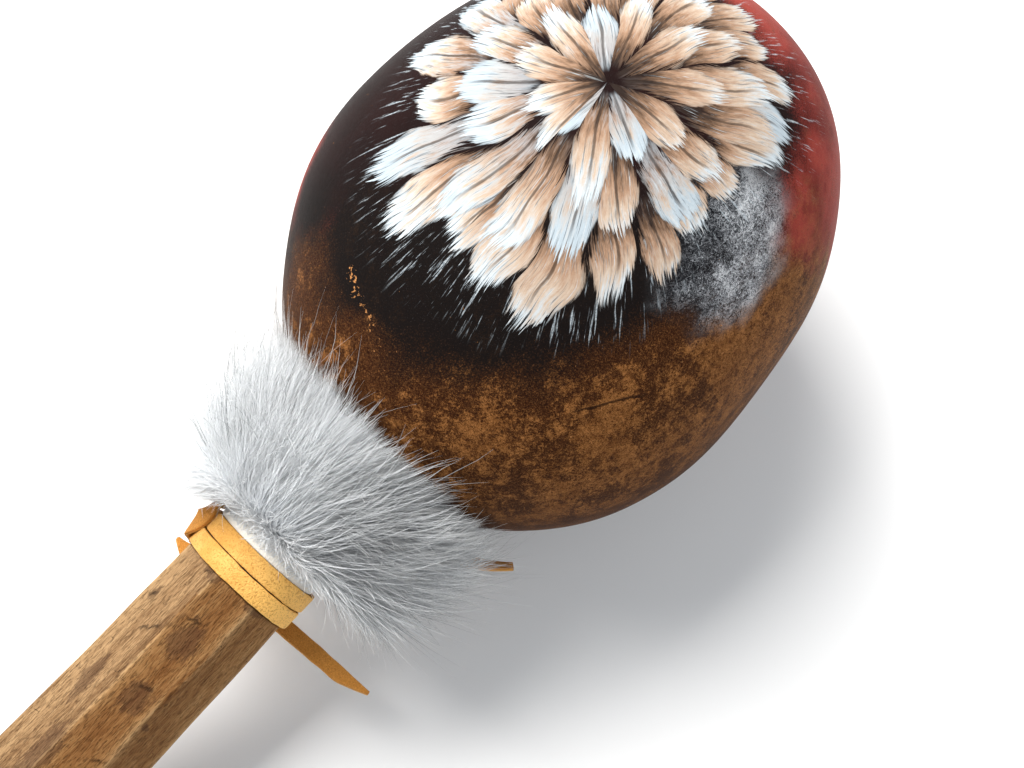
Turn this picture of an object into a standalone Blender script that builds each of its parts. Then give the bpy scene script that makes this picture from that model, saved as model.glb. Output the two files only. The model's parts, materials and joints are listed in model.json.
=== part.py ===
"""A gourd rattle, lying on its side as it does on a table.

A dried hollow gourd holds loose pebbles. A whittled wooden handle fits the gourd's neck with a round
tenon and a cross peg. A collar of fur on its hide covers the joint, and two leather laces tie it on.

Metres, +Z up. Every piece is built along the rattle's axis, which is local X. A place on that axis is a
station: 0 at the gourd's girth, positive towards its tip, negative towards the handle. An empty then
lays the whole rattle down, so that the gourd's belly and the handle's butt touch z = 0.
"""

from math import asin, atan2, cos, floor, pi, radians, sin, sqrt
from random import Random

import bmesh
import bpy
import numpy as np
from mathutils import Euler, Vector

# The gourd: an egg-shaped shell, drawn in to a short neck that is cut off square.
GIRTH_RADIUS = 0.0560
TIP_REACH = 0.0741  # girth to tip
TIP_FULLNESS = 2.15  # an ellipse is 2, and a fuller end is more
SHOULDER_REACH = 0.0634  # girth to where the shoulder alone would close
GOURD_WALL = 0.0045
NECK_RADIUS = 0.0158
NECK_CUT = 0.0770  # girth to the cut end of the neck
NECK_BLEND = 8.0  # how sharply the shoulder turns into the neck
SCAR_RADIUS = 0.0028  # the blossom scar, a small bump on the tip
SCAR_HEIGHT = 0.0008

# The handle: a stick whittled to flats, with a round seat for the tie and a tenon on its front end.
HANDLE_END = 0.2090  # girth to the butt
GRIP_FLAT = 0.01365  # axis to a flat, next to the seat
BUTT_FLAT = 0.0165  # axis to a flat at the butt
BUTT_SWELL = 1.6  # 1 is a straight taper, and more keeps the swelling near the butt
FLAT_COUNT = 8
RIDGE_SHAVING = 0.0003  # wood taken off each ridge between two flats
WHITTLE_DEPTH = 0.0003  # how far the knife wandered in and out
WHITTLE_LENGTH = 0.0420  # length of one such wave
WHITTLE_PHASE = 2.4  # radians by which each cut's waves run ahead of its neighbour's
BUTT_CHAMFER = 0.0024
SEAT_RADIUS = 0.0129
SEAT_BEVEL = 0.0006
TENON_RADIUS = 0.0100
TENON_LENGTH = 0.0260
TENON_CHAMFER = 0.0012

# The peg: a dowel that crosses the neck and the tenon.
PEG_RADIUS = 0.0020
PEG_INSET = 0.0085  # cut end of the neck to the peg's axis

# The collar: a strip of hide wrapped round the joint, with its fur outside.
HIDE_THICKNESS = 0.0005
COLLAR_TOP = 0.0535  # girth to the collar's front edge, which lies on the gourd's shoulder
COLLAR_LIP = 0.0014  # fur's depth at that edge
FUR_BACK_RADIUS = 0.0280  # next to the lower lace
FUR_FRONT_RADIUS = 0.0305  # at the gourd
FUR_FLARE = 0.0058  # length over which the fur swells out from the lace

# The laces: flat leather strips. The lower one makes two turns, the upper one a single turn.
LACE_WIDTH = 0.0041
LACE_THICKNESS = 0.0011
LACE_BEVEL = 0.0003
LACE_SPACE = 0.0006  # between two turns, side by side or one over the other
LOWER_TIE_REACH = 0.0942  # girth to the middle of the lower lace's two turns
UPPER_TIE_REACH = 0.0690  # girth to the middle of the upper lace's turn
LONG_TAIL = 0.0375  # reach of the lower lace's long end from the axis
LONG_TAIL_DRIFT = 0.0025  # how far that end leans towards the gourd
SHORT_TAIL = 0.0190  # reach of the short ends, on the other side
UPPER_TAIL = 0.0425  # reach of the upper lace's end, past the fur
UPPER_TAIL_DRIFT = 0.0137  # how far that end bends towards the gourd
UPPER_TAIL_BEND = 4.0  # how late it bends: 2 is an even curve, more is a hook near its tip
UPPER_TAIL_TWIST = radians(65)  # how far it has turned about itself at its tip
CROSSING_RUN = 0.0160  # how far the short end goes round the handle while it crosses the turns
CROSSING_PLACES = 1.6  # how many turns' places it crosses
STEP_SHARPNESS = 3.0  # a turn steps along within one third of its length, underneath
SINK_START = 0.125  # share of a turn after which the crossing end sinks to the others' level
SINK_RUN = 0.167  # share of a turn in which it sinks
TAIL_DROOP = 0.0030  # how far a free end hangs at its tip
TAIL_TAPER = 0.25  # share of its width that a free end loses before its tip
TIP_SHARE = 0.4  # share of the width that is left at the tip

# The pebbles that make the sound.
PEBBLE_COUNT = 24
PEBBLE_LEAST = 0.0025  # radius of the smallest
PEBBLE_MOST = 0.0033  # radius of the largest
PEBBLE_SPACE = 0.0006  # between two neighbours at their nearest
PEBBLE_ROWS = 3  # rows looked at for a place, on each side of the lowest point
PEBBLE_COLUMNS = 4  # places looked at along a row, on each side of the lowest point
MIDDLE_WEAR = (0.90, 1.00)  # a pebble's second width, as a share of its length
THIN_WEAR = (0.82, 0.92)  # its least width
ROUGH_WEAR = (0.96, 1.00)  # how far each point of its surface is worn down
SIZE_SEED = 11
WEAR_SEED = 5

# Gaps left between pieces that touch.
FIT_GAP = 0.0003

# Facets.
GOURD_SIDES = 40
PROFILE_STEPS = 15
CHAMBER_STEPS = 12
SWELL_STEPS = 5
PEG_SIDES = 16
LOOP_POINTS = 32  # along one turn of a lace
RINGS_PER_WAVE = 5
SHORT_TAIL_POINTS = 6
LONG_TAIL_POINTS = 10

# Samples that the measured gaps are read from.
GAP_SAMPLES = 6  # between two rings of a lace
GAP_WIDTHS = 3.0  # stretches closer than this many widths along a lace are neighbours
CEILING_SAMPLES = 41  # along a ball's width

DOWN = -pi / 2
HALF_FACET = pi / GOURD_SIDES


def clear_scene():
    for thing in list(bpy.data.objects):
        bpy.data.objects.remove(thing)


def shoulder_and_body(station, girth, tip, shoulder):
    """Radius of the egg shape without its neck: a fuller curve to the tip, an ellipse to the neck."""
    if station >= 0:
        return girth * max(0.0, 1 - (station / tip) ** TIP_FULLNESS) ** (1 / TIP_FULLNESS)
    return girth * sqrt(max(0.0, 1 - (station / shoulder) ** 2))


def outer_radius(station):
    """Radius of the gourd's outside, where the shoulder runs smoothly into the neck."""
    body = shoulder_and_body(station, GIRTH_RADIUS, TIP_REACH, SHOULDER_REACH)
    if station >= 0:
        return body
    return (body**NECK_BLEND + NECK_RADIUS**NECK_BLEND) ** (1 / NECK_BLEND)


def inner_radius(station):
    """Radius of the gourd's inside, where the neck's bore takes over from the chamber."""
    chamber = shoulder_and_body(
        station, GIRTH_RADIUS - GOURD_WALL, TIP_REACH - GOURD_WALL, SHOULDER_REACH - GOURD_WALL
    )
    return max(chamber, bore_radius())


def bore_radius():
    return TENON_RADIUS + FIT_GAP


def chamber_mouth():
    """Station where the neck's bore opens into the chamber."""
    reach = SHOULDER_REACH - GOURD_WALL
    return -reach * sqrt(1 - (bore_radius() / (GIRTH_RADIUS - GOURD_WALL)) ** 2)


def egg_stations(tip, shoulder, neck_end, steps):
    """Stations from next to the tip to a place on the neck side, at even turns of the curve's angle."""
    tip_side = [tip * cos(pi / 2 * i / steps) ** (2 / TIP_FULLNESS) for i in range(1, steps + 1)]
    last = asin(-neck_end / shoulder)
    return tip_side + [-shoulder * sin(last * i / steps) for i in range(1, steps + 1)]


def outer_stations():
    return egg_stations(TIP_REACH, SHOULDER_REACH, -SHOULDER_REACH, PROFILE_STEPS)


def new_mesh(name, bm):
    mesh = bpy.data.meshes.new(name)
    bm.to_mesh(mesh)
    bm.free()
    mesh.shade_smooth()
    mesh.set_sharp_from_angle(angle=radians(35))
    return mesh


def turned(name, profile, closed):
    """Mesh of a profile of (station, radius) points spun round the axis, with a facet facing down."""
    bm = bmesh.new()
    start = DOWN + HALF_FACET
    points = [bm.verts.new((s, r * cos(start), r * sin(start))) for s, r in profile]
    pairs = list(zip(points, points[1:])) + ([(points[-1], points[0])] if closed else [])
    edges = [bm.edges.new(pair) for pair in pairs]
    bmesh.ops.spin(
        bm,
        geom=points + edges,
        axis=(1, 0, 0),
        cent=(0, 0, 0),
        angle=2 * pi,
        steps=GOURD_SIDES,
        use_merge=True,
    )
    bmesh.ops.remove_doubles(bm, verts=bm.verts, dist=1e-6)
    bmesh.ops.recalc_face_normals(bm, faces=bm.faces)
    return new_mesh(name, bm)


def lofted(name, sections):
    """Mesh through rings of points, each ring with as many points as the last, closed at both ends."""
    bm = bmesh.new()
    rings = [[bm.verts.new(point) for point in section] for section in sections]
    for ring, following in zip(rings, rings[1:]):
        for i in range(len(ring)):
            j = (i + 1) % len(ring)
            bm.faces.new((ring[i], ring[j], following[j], following[i]))
    bm.faces.new(rings[0])
    bm.faces.new(rings[-1])
    bmesh.ops.recalc_face_normals(bm, faces=bm.faces)
    return new_mesh(name, bm)


def material(name, colour, roughness):
    made = bpy.data.materials.new(name)
    made.use_nodes = True
    shader = made.node_tree.nodes["Principled BSDF"]
    shader.inputs["Base Color"].default_value = (*colour, 1)
    shader.inputs["Roughness"].default_value = roughness
    shader.inputs["Metallic"].default_value = 0
    return made


def add_piece(name, mesh, finish, parent):
    piece = bpy.data.objects.new(name, mesh)
    mesh.materials.append(finish)
    piece.parent = parent
    bpy.context.scene.collection.objects.link(piece)
    return piece


def cut_away(piece, cutter):
    """Cuts the cutter from the piece, and keeps the cutter as a hidden wire shape."""
    cutter.hide_render = True
    cutter.display_type = "WIRE"
    cut = piece.modifiers.new("cut_" + cutter.name, "BOOLEAN")
    cut.operation = "DIFFERENCE"
    cut.solver = "EXACT"
    cut.object = cutter


# Gourd shell.


def gourd_shell(parent):
    scar_edge = (TIP_REACH, SCAR_RADIUS)
    scar = [(TIP_REACH + SCAR_HEIGHT, 0), (TIP_REACH + SCAR_HEIGHT / 2, SCAR_RADIUS / 2), scar_edge]
    outside = [(station, outer_radius(station)) for station in outer_stations()]
    rim = [(-NECK_CUT, NECK_RADIUS), (-NECK_CUT, bore_radius())]
    chamber = egg_stations(
        TIP_REACH - GOURD_WALL, SHOULDER_REACH - GOURD_WALL, chamber_mouth(), CHAMBER_STEPS
    )
    inside = [(station, inner_radius(station)) for station in reversed(chamber)]
    profile = scar + outside + rim + inside + [(TIP_REACH - GOURD_WALL, 0)]
    finish = material("painted_gourd", (0.16, 0.07, 0.03), 0.38)
    return add_piece("gourd_shell", turned("gourd_shell", profile, False), finish, parent)


# Handle and peg.


def butt_station():
    return -HANDLE_END


def shoulder_station():
    return -NECK_CUT - FIT_GAP


def seat_start():
    """Station where the whittled grip ends and the round seat begins, just behind the lower lace."""
    return -LOWER_TIE_REACH - tie_half() - FIT_GAP


def flat_distance(station):
    share = (seat_start() - station) / (seat_start() - butt_station())
    return GRIP_FLAT + (BUTT_FLAT - GRIP_FLAT) * max(0.0, share) ** BUTT_SWELL


def ridge_distance(flat):
    """Axis to the shaved ridge between two flats."""
    return flat / cos(pi / FLAT_COUNT) - RIDGE_SHAVING


def whittled_ring(station, shrink=0.0):
    """Points round the handle at a station: flats facing down, up and between, with shaved ridges."""
    from_butt = (station - butt_station() - BUTT_CHAMFER) / WHITTLE_LENGTH
    depth = WHITTLE_DEPTH * max(0.0, min(1.0, from_butt))
    flat = flat_distance(station) - shrink
    distances = []
    for k in range(2 * FLAT_COUNT):
        wave = depth * (sin(2 * pi * station / WHITTLE_LENGTH + WHITTLE_PHASE * k) - 1)
        distances.append((flat if k % 2 == 0 else ridge_distance(flat)) + wave)
    corners = []
    turn = pi / FLAT_COUNT
    for k, near in enumerate(distances):
        far = distances[(k + 1) % len(distances)]
        first = DOWN + k * turn
        second = first + turn
        corners.append(
            Vector(
                (
                    station,
                    (near * sin(second) - far * sin(first)) / sin(turn),
                    (far * cos(first) - near * cos(second)) / sin(turn),
                )
            )
        )
    ring = []
    for corner, following in zip(corners, corners[1:] + corners[:1]):
        ring += [corner, (corner + following) / 2]
    return ring


def round_ring(station, radius, count, start):
    angles = [start + 2 * pi * i / count for i in range(count)]
    return [Vector((station, radius * cos(a), radius * sin(a))) for a in angles]


def handle(parent):
    back = butt_station() + BUTT_CHAMFER
    grip_end = seat_start()
    front = shoulder_station()
    end = front + TENON_LENGTH
    run = floor((grip_end - back) / (WHITTLE_LENGTH / RINGS_PER_WAVE))
    sections = [whittled_ring(butt_station(), BUTT_CHAMFER)]
    sections += [whittled_ring(back + (grip_end - SEAT_BEVEL - back) * i / run) for i in range(run + 1)]
    count = len(sections[0])
    start = DOWN + pi / FLAT_COUNT / 2
    for station, radius in (
        (grip_end, SEAT_RADIUS),
        (front, SEAT_RADIUS),
        (front, TENON_RADIUS),
        (end - TENON_CHAMFER, TENON_RADIUS),
        (end, TENON_RADIUS - TENON_CHAMFER),
    ):
        sections.append(round_ring(station, radius, count, start))
    finish = material("oiled_wood", (0.36, 0.20, 0.09), 0.55)
    return add_piece("handle", lofted("handle", sections), finish, parent)


def peg_station():
    return -NECK_CUT + PEG_INSET


def dowel(name, radius, half_length, finish, parent):
    """A round bar across the rattle, along local Y."""
    ends = []
    for side in (-half_length, half_length):
        ring = round_ring(0, radius, PEG_SIDES, DOWN)
        ends.append([Vector((peg_station() + point.y, side, point.z)) for point in ring])
    return add_piece(name, lofted(name, ends), finish, parent)


def tenon_peg(parent, holed):
    finish = material("peg_wood", (0.50, 0.34, 0.18), 0.6)
    least_neck = NECK_RADIUS * cos(HALF_FACET)
    peg = dowel("tenon_peg", PEG_RADIUS, least_neck - FIT_GAP, finish, parent)
    drill = dowel("peg_drill", PEG_RADIUS + FIT_GAP, 2 * NECK_RADIUS, finish, parent)
    for piece in holed:
        cut_away(piece, drill)
    return peg


# Laces.


def lace_strip(route, width, thickness):
    """Rings of a flat strip along a route of (point, outward direction, share of the width)."""
    points = [point for point, outward, share in route]
    rings = []
    for i, (point, outward, share) in enumerate(route):
        along = (points[min(i + 1, len(points) - 1)] - points[max(i - 1, 0)]).normalized()
        across = along.cross(outward).normalized()
        up = across.cross(along)
        side = width * share / 2
        skin = thickness / 2
        bevel = min(LACE_BEVEL, side / 2)
        outline = [
            (-side, skin - bevel),
            (-side + bevel, skin),
            (side - bevel, skin),
            (side, skin - bevel),
            (side, bevel - skin),
            (side - bevel, -skin),
            (bevel - side, -skin),
            (-side, bevel - skin),
        ]
        rings.append([point + across * a + up * b for a, b in outline])
    return rings


def least_gap(rings):
    """Least distance between stretches of one strip that lie well apart along it."""
    cloud = []
    run = [0.0]
    for ring, following in zip(rings, rings[1:]):
        step = (Vector(np.mean(following, axis=0)) - Vector(np.mean(ring, axis=0))).length
        for k in range(GAP_SAMPLES):
            cloud.append([a.lerp(b, k / GAP_SAMPLES) for a, b in zip(ring, following)])
            run.append(run[-1] + step / GAP_SAMPLES)
    cloud = np.array(cloud)
    run = np.array(run[:-1])
    nearest = 1.0
    for ring, place in zip(cloud, run):
        others = cloud[run > place + GAP_WIDTHS * LACE_WIDTH].reshape(-1, 3)
        if len(others):
            apart = np.linalg.norm(ring[:, None, :] - others[None, :, :], axis=2)
            nearest = min(nearest, float(apart.min()))
    return nearest


def smooth(share):
    share = max(0.0, min(1.0, share))
    return share * share * (3 - 2 * share)


def tip_shares(count):
    """Shares of the full width along a free end, which narrows to a rounded tip."""
    return [1 - TAIL_TAPER * i / (count - 1) for i in range(count - 1)] + [TIP_SHARE]


def on_turn(station, radius, angle):
    outward = Vector((0, cos(angle), sin(angle)))
    return Vector((station, 0, 0)) + outward * radius, outward, 1.0


def free_end(side, radius, reach, station_at, count, twist=0.0):
    """Points of an end that leaves the turns at their lowest point, to one side, and droops and twists."""
    route = []
    for i, share in enumerate(tip_shares(count)):
        part = (i + 1) / count
        y = side * reach * part
        place = Vector((station_at(y), y, -radius - TAIL_DROOP * part**2))
        slope = 2 * TAIL_DROOP * part / reach
        turned = twist * part**2
        outward = Vector((-sin(turned), -side * slope, -cos(turned)))
        route.append((place, outward.normalized(), share))
    return route


def turns(first, stride, radius, count):
    """Whole turns from the lowest point round to it again, each stepping one place along underneath."""
    route = []
    for i in range(count * LOOP_POINTS + 1):
        turn = i / LOOP_POINTS
        whole = floor(turn + 0.5)
        step = whole - 1 + smooth(STEP_SHARPNESS * (turn - whole) + 0.5)
        route.append(on_turn(first + stride * step, radius, DOWN - 2 * pi * turn))
    return route


def hide_radius(back, front):
    """Outside of the hide where it is wrapped over the handle or the neck between two stations."""
    bed = max(under_collar(s) for s in np.linspace(back, front, PROFILE_STEPS))
    return bed + FIT_GAP + HIDE_THICKNESS


def under_collar(station):
    """Radius of what the hide lies on: the handle's seat, then the neck and the gourd's shoulder."""
    return outer_radius(station) if station > -NECK_CUT else SEAT_RADIUS


def lace_pitch():
    return LACE_WIDTH + LACE_SPACE


def tie_half():
    return LACE_WIDTH + LACE_SPACE / 2


def step_slope(radius):
    """Slope of a turn at its lowest point, where it steps along, and of an end that runs straight on."""
    return STEP_SHARPNESS * 1.5 * lace_pitch() / (2 * pi * radius)


def lace_piece(name, rings, finish, parent):
    print(name, "least gap to itself", round(least_gap(rings) * 1000, 2), "mm")
    return add_piece(name, lofted(name, rings), finish, parent)


def lower_lace(parent):
    """Two turns over the hide's hem, tied underneath: the short end crosses outside both of them."""
    half = tie_half()
    pitch = lace_pitch()
    bed = hide_radius(-LOWER_TIE_REACH - half, -LOWER_TIE_REACH + half) + FIT_GAP
    radius = bed / cos(pi / LOOP_POINTS) + LACE_THICKNESS / 2
    over = radius + LACE_THICKNESS + LACE_SPACE
    front = -LOWER_TIE_REACH + pitch / 2
    back = front - CROSSING_PLACES * pitch

    def crossing(y):
        return back + (front - back) * smooth(0.5 - y / CROSSING_RUN) - max(0.0, y) * step_slope(radius) / 2

    route = turns(front, -pitch, radius, 2)
    for i in range(floor((SINK_START + SINK_RUN) * LOOP_POINTS) + 1):
        turn = i / LOOP_POINTS
        angle = DOWN - 2 * pi * turn
        lift = over + (radius - over) * smooth((turn - SINK_START) / SINK_RUN)
        route[i] = on_turn(crossing(over * cos(angle)), lift, angle)
    leaving = route[-1][0].x
    slope = step_slope(radius)
    swing = LONG_TAIL_DRIFT + slope * LONG_TAIL

    def long_way(y):
        return leaving + slope * y + swing * (y / LONG_TAIL) ** 2

    short = free_end(1, over, SHORT_TAIL, crossing, SHORT_TAIL_POINTS)
    long = free_end(-1, radius, LONG_TAIL, long_way, LONG_TAIL_POINTS)
    rings = lace_strip(short[::-1] + route + long, LACE_WIDTH, LACE_THICKNESS)
    finish = material("lace_leather", (0.72, 0.42, 0.10), 0.62)
    return lace_piece("lower_lace", rings, finish, parent)


def upper_lace(parent, collar):
    """One turn over the hide, down in the fur, with an end that comes out of the fur at -Y."""
    half = tie_half()
    bed = hide_radius(-UPPER_TIE_REACH - half, -UPPER_TIE_REACH + half) + FIT_GAP
    radius = bed / cos(pi / LOOP_POINTS) + LACE_THICKNESS / 2
    slope = step_slope(radius)
    route = turns(-UPPER_TIE_REACH, lace_pitch(), radius, 1)
    entering = route[0][0].x
    leaving = route[-1][0].x

    def long_way(y):
        part = -y / UPPER_TAIL
        return leaving - slope * y * (1 - part) + UPPER_TAIL_DRIFT * part**UPPER_TAIL_BEND

    short = free_end(1, radius, SHORT_TAIL, lambda y: entering - slope * y, SHORT_TAIL_POINTS)
    long = free_end(-1, radius, UPPER_TAIL, long_way, LONG_TAIL_POINTS, UPPER_TAIL_TWIST)
    route = short[::-1] + route + long
    finish = material("upper_lace_leather", (0.55, 0.30, 0.10), 0.7)
    rings = lace_strip(route, LACE_WIDTH, LACE_THICKNESS)
    lace = lace_piece("upper_lace", rings, finish, parent)
    room = lace_strip(route, LACE_WIDTH + LACE_SPACE, LACE_THICKNESS + LACE_SPACE)
    bed_cut = add_piece("upper_lace_bed", lofted("upper_lace_bed", room), finish, parent)
    cut_away(collar, bed_cut)
    return lace


# Fur collar.


def fur_collar(parent):
    """Hide and fur as one soft ring: a thin hem under the lower lace, then the swelling fur."""
    hem = -LOWER_TIE_REACH - tie_half()
    fur_start = -LOWER_TIE_REACH + tie_half() + FIT_GAP
    on_seat = SEAT_RADIUS + FIT_GAP
    on_neck = NECK_RADIUS + FIT_GAP
    neck_end = -NECK_CUT - 2 * FIT_GAP
    hide = on_seat + HIDE_THICKNESS
    inside = [(hem, on_seat), (neck_end - (on_neck - on_seat), on_seat), (neck_end, on_neck)]
    outside = [(hem, hide), (fur_start, hide)]
    for i in range(1, PROFILE_STEPS + 1):
        station = neck_end + (-COLLAR_TOP - neck_end) * i / PROFILE_STEPS
        inside.append((station, max(on_neck, under_collar(station) + FIT_GAP)))
    for i in range(1, SWELL_STEPS + 1):
        rise = pi / 2 * i / SWELL_STEPS
        radius = hide + (FUR_BACK_RADIUS - hide) * sin(rise)
        outside.append((fur_start + FUR_FLARE * (1 - cos(rise)), radius))
    swollen = fur_start + FUR_FLARE
    for i in range(1, PROFILE_STEPS + 1):
        share = i / PROFILE_STEPS
        station = swollen + (-COLLAR_TOP - swollen) * share
        lip = under_collar(station) + FIT_GAP + COLLAR_LIP
        outside.append((station, max(FUR_BACK_RADIUS + (FUR_FRONT_RADIUS - FUR_BACK_RADIUS) * share, lip)))
    finish = material("white_fur", (0.72, 0.73, 0.75), 0.95)
    return add_piece("fur_collar", turned("fur_collar", outside + inside[::-1], True), finish, parent)


# Pebbles.


def ball_ceiling(station, reach):
    """Greatest radius, in the chamber, for the middle of a ball that keeps its gap to the wall."""
    gap = reach + FIT_GAP
    limits = []
    for t in np.linspace(-gap, gap, CEILING_SAMPLES):
        wall = inner_radius(station + t) * cos(HALF_FACET)
        limits.append(wall - sqrt(max(0.0, gap**2 - t**2)))
    return min(limits)


def pebble_seats(tilt):
    """Columns for the pebbles, lowest first: (station, y, depth below the axis, radius)."""
    draw = Random(SIZE_SEED)
    spacing = 2 * PEBBLE_MOST + PEBBLE_SPACE
    lowest = -SHOULDER_REACH * sin(tilt)
    seats = []
    for row in range(-PEBBLE_ROWS, PEBBLE_ROWS + 1):
        for column in range(-PEBBLE_COLUMNS, PEBBLE_COLUMNS + 1):
            station = lowest + (column + 0.5 * (row % 2)) * spacing
            y = row * spacing * sqrt(3) / 2
            reach = draw.uniform(PEBBLE_LEAST, PEBBLE_MOST)
            depth = sqrt(ball_ceiling(station, reach) ** 2 - y**2)
            seats.append((station, y, depth, reach))
    seats.sort(key=lambda seat: (round(seat[0] * sin(tilt) - seat[2] * cos(tilt), 6), seat[1]))
    return seats[:PEBBLE_COUNT]


def pebbles(parent, tilt):
    draw = Random(WEAR_SEED)
    finish = material("pebble_stone", (0.42, 0.38, 0.33), 0.7)
    for number, (station, y, depth, reach) in enumerate(pebble_seats(tilt), start=1):
        bm = bmesh.new()
        bmesh.ops.create_icosphere(bm, subdivisions=2, radius=reach)
        turn = Euler([draw.uniform(-pi, pi) for _ in range(3)]).to_matrix()
        worn = Vector((1, draw.uniform(*MIDDLE_WEAR), draw.uniform(*THIN_WEAR)))
        for vert in bm.verts:
            vert.co = turn @ (vert.co * worn * draw.uniform(*ROUGH_WEAR))
        name = f"pebble_{number:02d}"
        pebble = add_piece(name, new_mesh(name, bm), finish, parent)
        pebble.location = (station, y, -depth)
        print(name, "slides", round(2000 * depth, 3), "mm from floor to ceiling")


# The rattle laid down.


def resting_tilt():
    """Angle that lets a line from the butt's lower edge touch the gourd's belly."""
    corner = butt_station() + BUTT_CHAMFER
    low = flat_distance(corner)
    belly = [(s, outer_radius(s) * cos(HALF_FACET)) for s in outer_stations()]
    return max(atan2(radius - low, station - corner) for station, radius in belly)


def lay_down(axis, tilt, pieces):
    """Turns the rattle by its tilt, and sets it on z = 0 with its length centred on the origin."""
    axis.rotation_euler = (0, -tilt, 0)
    bpy.context.view_layer.update()
    corners = [piece.matrix_world @ v.co for piece in pieces for v in piece.data.vertices]
    along = [corner.x for corner in corners]
    axis.location = (-(min(along) + max(along)) / 2, 0, -min(corner.z for corner in corners))


clear_scene()
rattle_axis = bpy.data.objects.new("rattle_axis", None)
bpy.context.scene.collection.objects.link(rattle_axis)
lie = resting_tilt()
shell = gourd_shell(rattle_axis)
stick = handle(rattle_axis)
tenon_peg(rattle_axis, [shell, stick])
collar_piece = fur_collar(rattle_axis)
lower_lace(rattle_axis)
upper_lace(rattle_axis, collar_piece)
pebbles(rattle_axis, lie)
lay_down(rattle_axis, lie, [shell, stick])
print("tilt", round(lie * 180 / pi, 3), "degrees, axis at", [round(v, 6) for v in rattle_axis.location])
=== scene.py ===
"""The looks of a gourd rattle: painted gourd, whittled handle, fur collar and leather laces.

Each piece is built along the rattle's own axis, where a place is a station: 0 at the gourd's girth, positive
towards its tip, negative towards the handle. It is then laid down as the solids lie. Lengths are in metres,
but the finishes read millimetres.
"""

import json
from math import asin, cos, floor, pi, radians, sin, sqrt

import bmesh
import bpy
import numpy as np
from mathutils import Matrix, Vector, noise


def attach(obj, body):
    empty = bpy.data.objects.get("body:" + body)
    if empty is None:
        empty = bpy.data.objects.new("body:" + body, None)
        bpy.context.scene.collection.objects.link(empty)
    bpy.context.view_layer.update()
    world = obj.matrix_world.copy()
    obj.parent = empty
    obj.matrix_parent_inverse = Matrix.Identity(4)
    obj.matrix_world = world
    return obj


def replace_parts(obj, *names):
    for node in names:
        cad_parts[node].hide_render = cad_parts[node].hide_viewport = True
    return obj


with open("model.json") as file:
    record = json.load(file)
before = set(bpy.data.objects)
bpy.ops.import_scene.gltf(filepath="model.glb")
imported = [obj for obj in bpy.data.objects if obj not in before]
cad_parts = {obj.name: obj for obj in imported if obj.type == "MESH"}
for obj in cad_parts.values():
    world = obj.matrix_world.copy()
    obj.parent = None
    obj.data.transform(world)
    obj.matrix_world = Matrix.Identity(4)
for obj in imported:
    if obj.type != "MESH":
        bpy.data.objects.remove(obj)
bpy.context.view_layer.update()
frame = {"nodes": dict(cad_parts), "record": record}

# Gourd. A dried gourd with a woody wall, hollow for the pebbles, egg-shaped, its neck cut off square. The
# lower half shows its own mottled skin; the upper half is painted with a wreath of feathers on black, with a
# grey patch beside it and a red ground towards the tip. The whole is varnished.

GIRTH_RADIUS = 0.0560
TIP_REACH = 0.0741
TIP_FULLNESS = 2.15
SHOULDER_REACH = 0.0634
GOURD_WALL = 0.0045
NECK_RADIUS = 0.0158
NECK_CUT = 0.0770
NECK_BLEND = 8.0
BORE_RADIUS = 0.0103
SCAR_RADIUS = 0.0028
SCAR_HEIGHT = 0.0007
HANDLE_END = 0.2090
GOURD_LUMP = 0.0005  # how far the gourd is from a turned shape
GOURD_LUMP_SIZE = 0.030
LUMP_START = -0.045  # behind it the collar fits on an even shape
LUMP_RUN = 0.030
LUMP_TIP = 0.020  # radius below which the lumps fade out at the tip
NECK_EDGE = 0.0008  # the worn edge of the cut neck
NECK_EDGE_DEPTH = 0.0006
GOURD_SIDES = 192
GOURD_STEPS = 64
CHAMBER_STEPS = 24
LEANS = (  # station, spread, side and amount by which the grown gourd departs from a turned one
    (-0.043, 0.016, 1, -0.0019),
    (-0.035, 0.014, -1, 0.0008),
    (0.025, 0.025, -1, -0.0009),
)

butt_face = frame["record"]["mounts"][0]
axis_way = -Vector(butt_face["axis"])
side_way = Vector((0, 1, 0))
girth_middle = Vector(butt_face["pos_m"]) + axis_way * HANDLE_END
lying = Matrix((axis_way, side_way, axis_way.cross(side_way))).transposed().to_4x4()
lying.translation = girth_middle


def egg_radius(station, girth, tip, shoulder):
    if station >= 0:
        return girth * max(0.0, 1 - (station / tip) ** TIP_FULLNESS) ** (1 / TIP_FULLNESS)
    return girth * sqrt(max(0.0, 1 - (station / shoulder) ** 2))


def gourd_radius(station):
    body = egg_radius(station, GIRTH_RADIUS, TIP_REACH, SHOULDER_REACH)
    return body if station >= 0 else (body**NECK_BLEND + NECK_RADIUS**NECK_BLEND) ** (1 / NECK_BLEND)


def chamber_radius(station):
    body = egg_radius(
        station, GIRTH_RADIUS - GOURD_WALL, TIP_REACH - GOURD_WALL, SHOULDER_REACH - GOURD_WALL
    )
    return max(body, BORE_RADIUS)


def egg_stations(tip, shoulder, neck_end, steps):
    tip_side = [tip * cos(pi / 2 * i / steps) ** (2 / TIP_FULLNESS) for i in range(1, steps + 1)]
    last = asin(-neck_end / shoulder)
    return tip_side + [-shoulder * sin(last * i / steps) for i in range(1, steps + 1)]


def ring(station, radii):
    """Points round the axis at a station, from one radius for all of them or a radius each."""
    count = len(radii) if hasattr(radii, "__len__") else GOURD_SIDES
    turn = np.arange(count) * 2 * pi / count
    return np.stack([np.full(count, station), radii * np.cos(turn), radii * np.sin(turn)], axis=1)


def joined(rings, looped=False):
    """Points and faces of a skin through rings of points, open at its ends."""
    count = len(rings[0])
    faces = []
    for k in range(len(rings) if looped else len(rings) - 1):
        first = k * count
        following = (k + 1) % len(rings) * count
        for i in range(count):
            j = (i + 1) % count
            faces.append((first + i, first + j, following + j, following + i))
    return [tuple(point) for points in rings for point in points], faces


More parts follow.
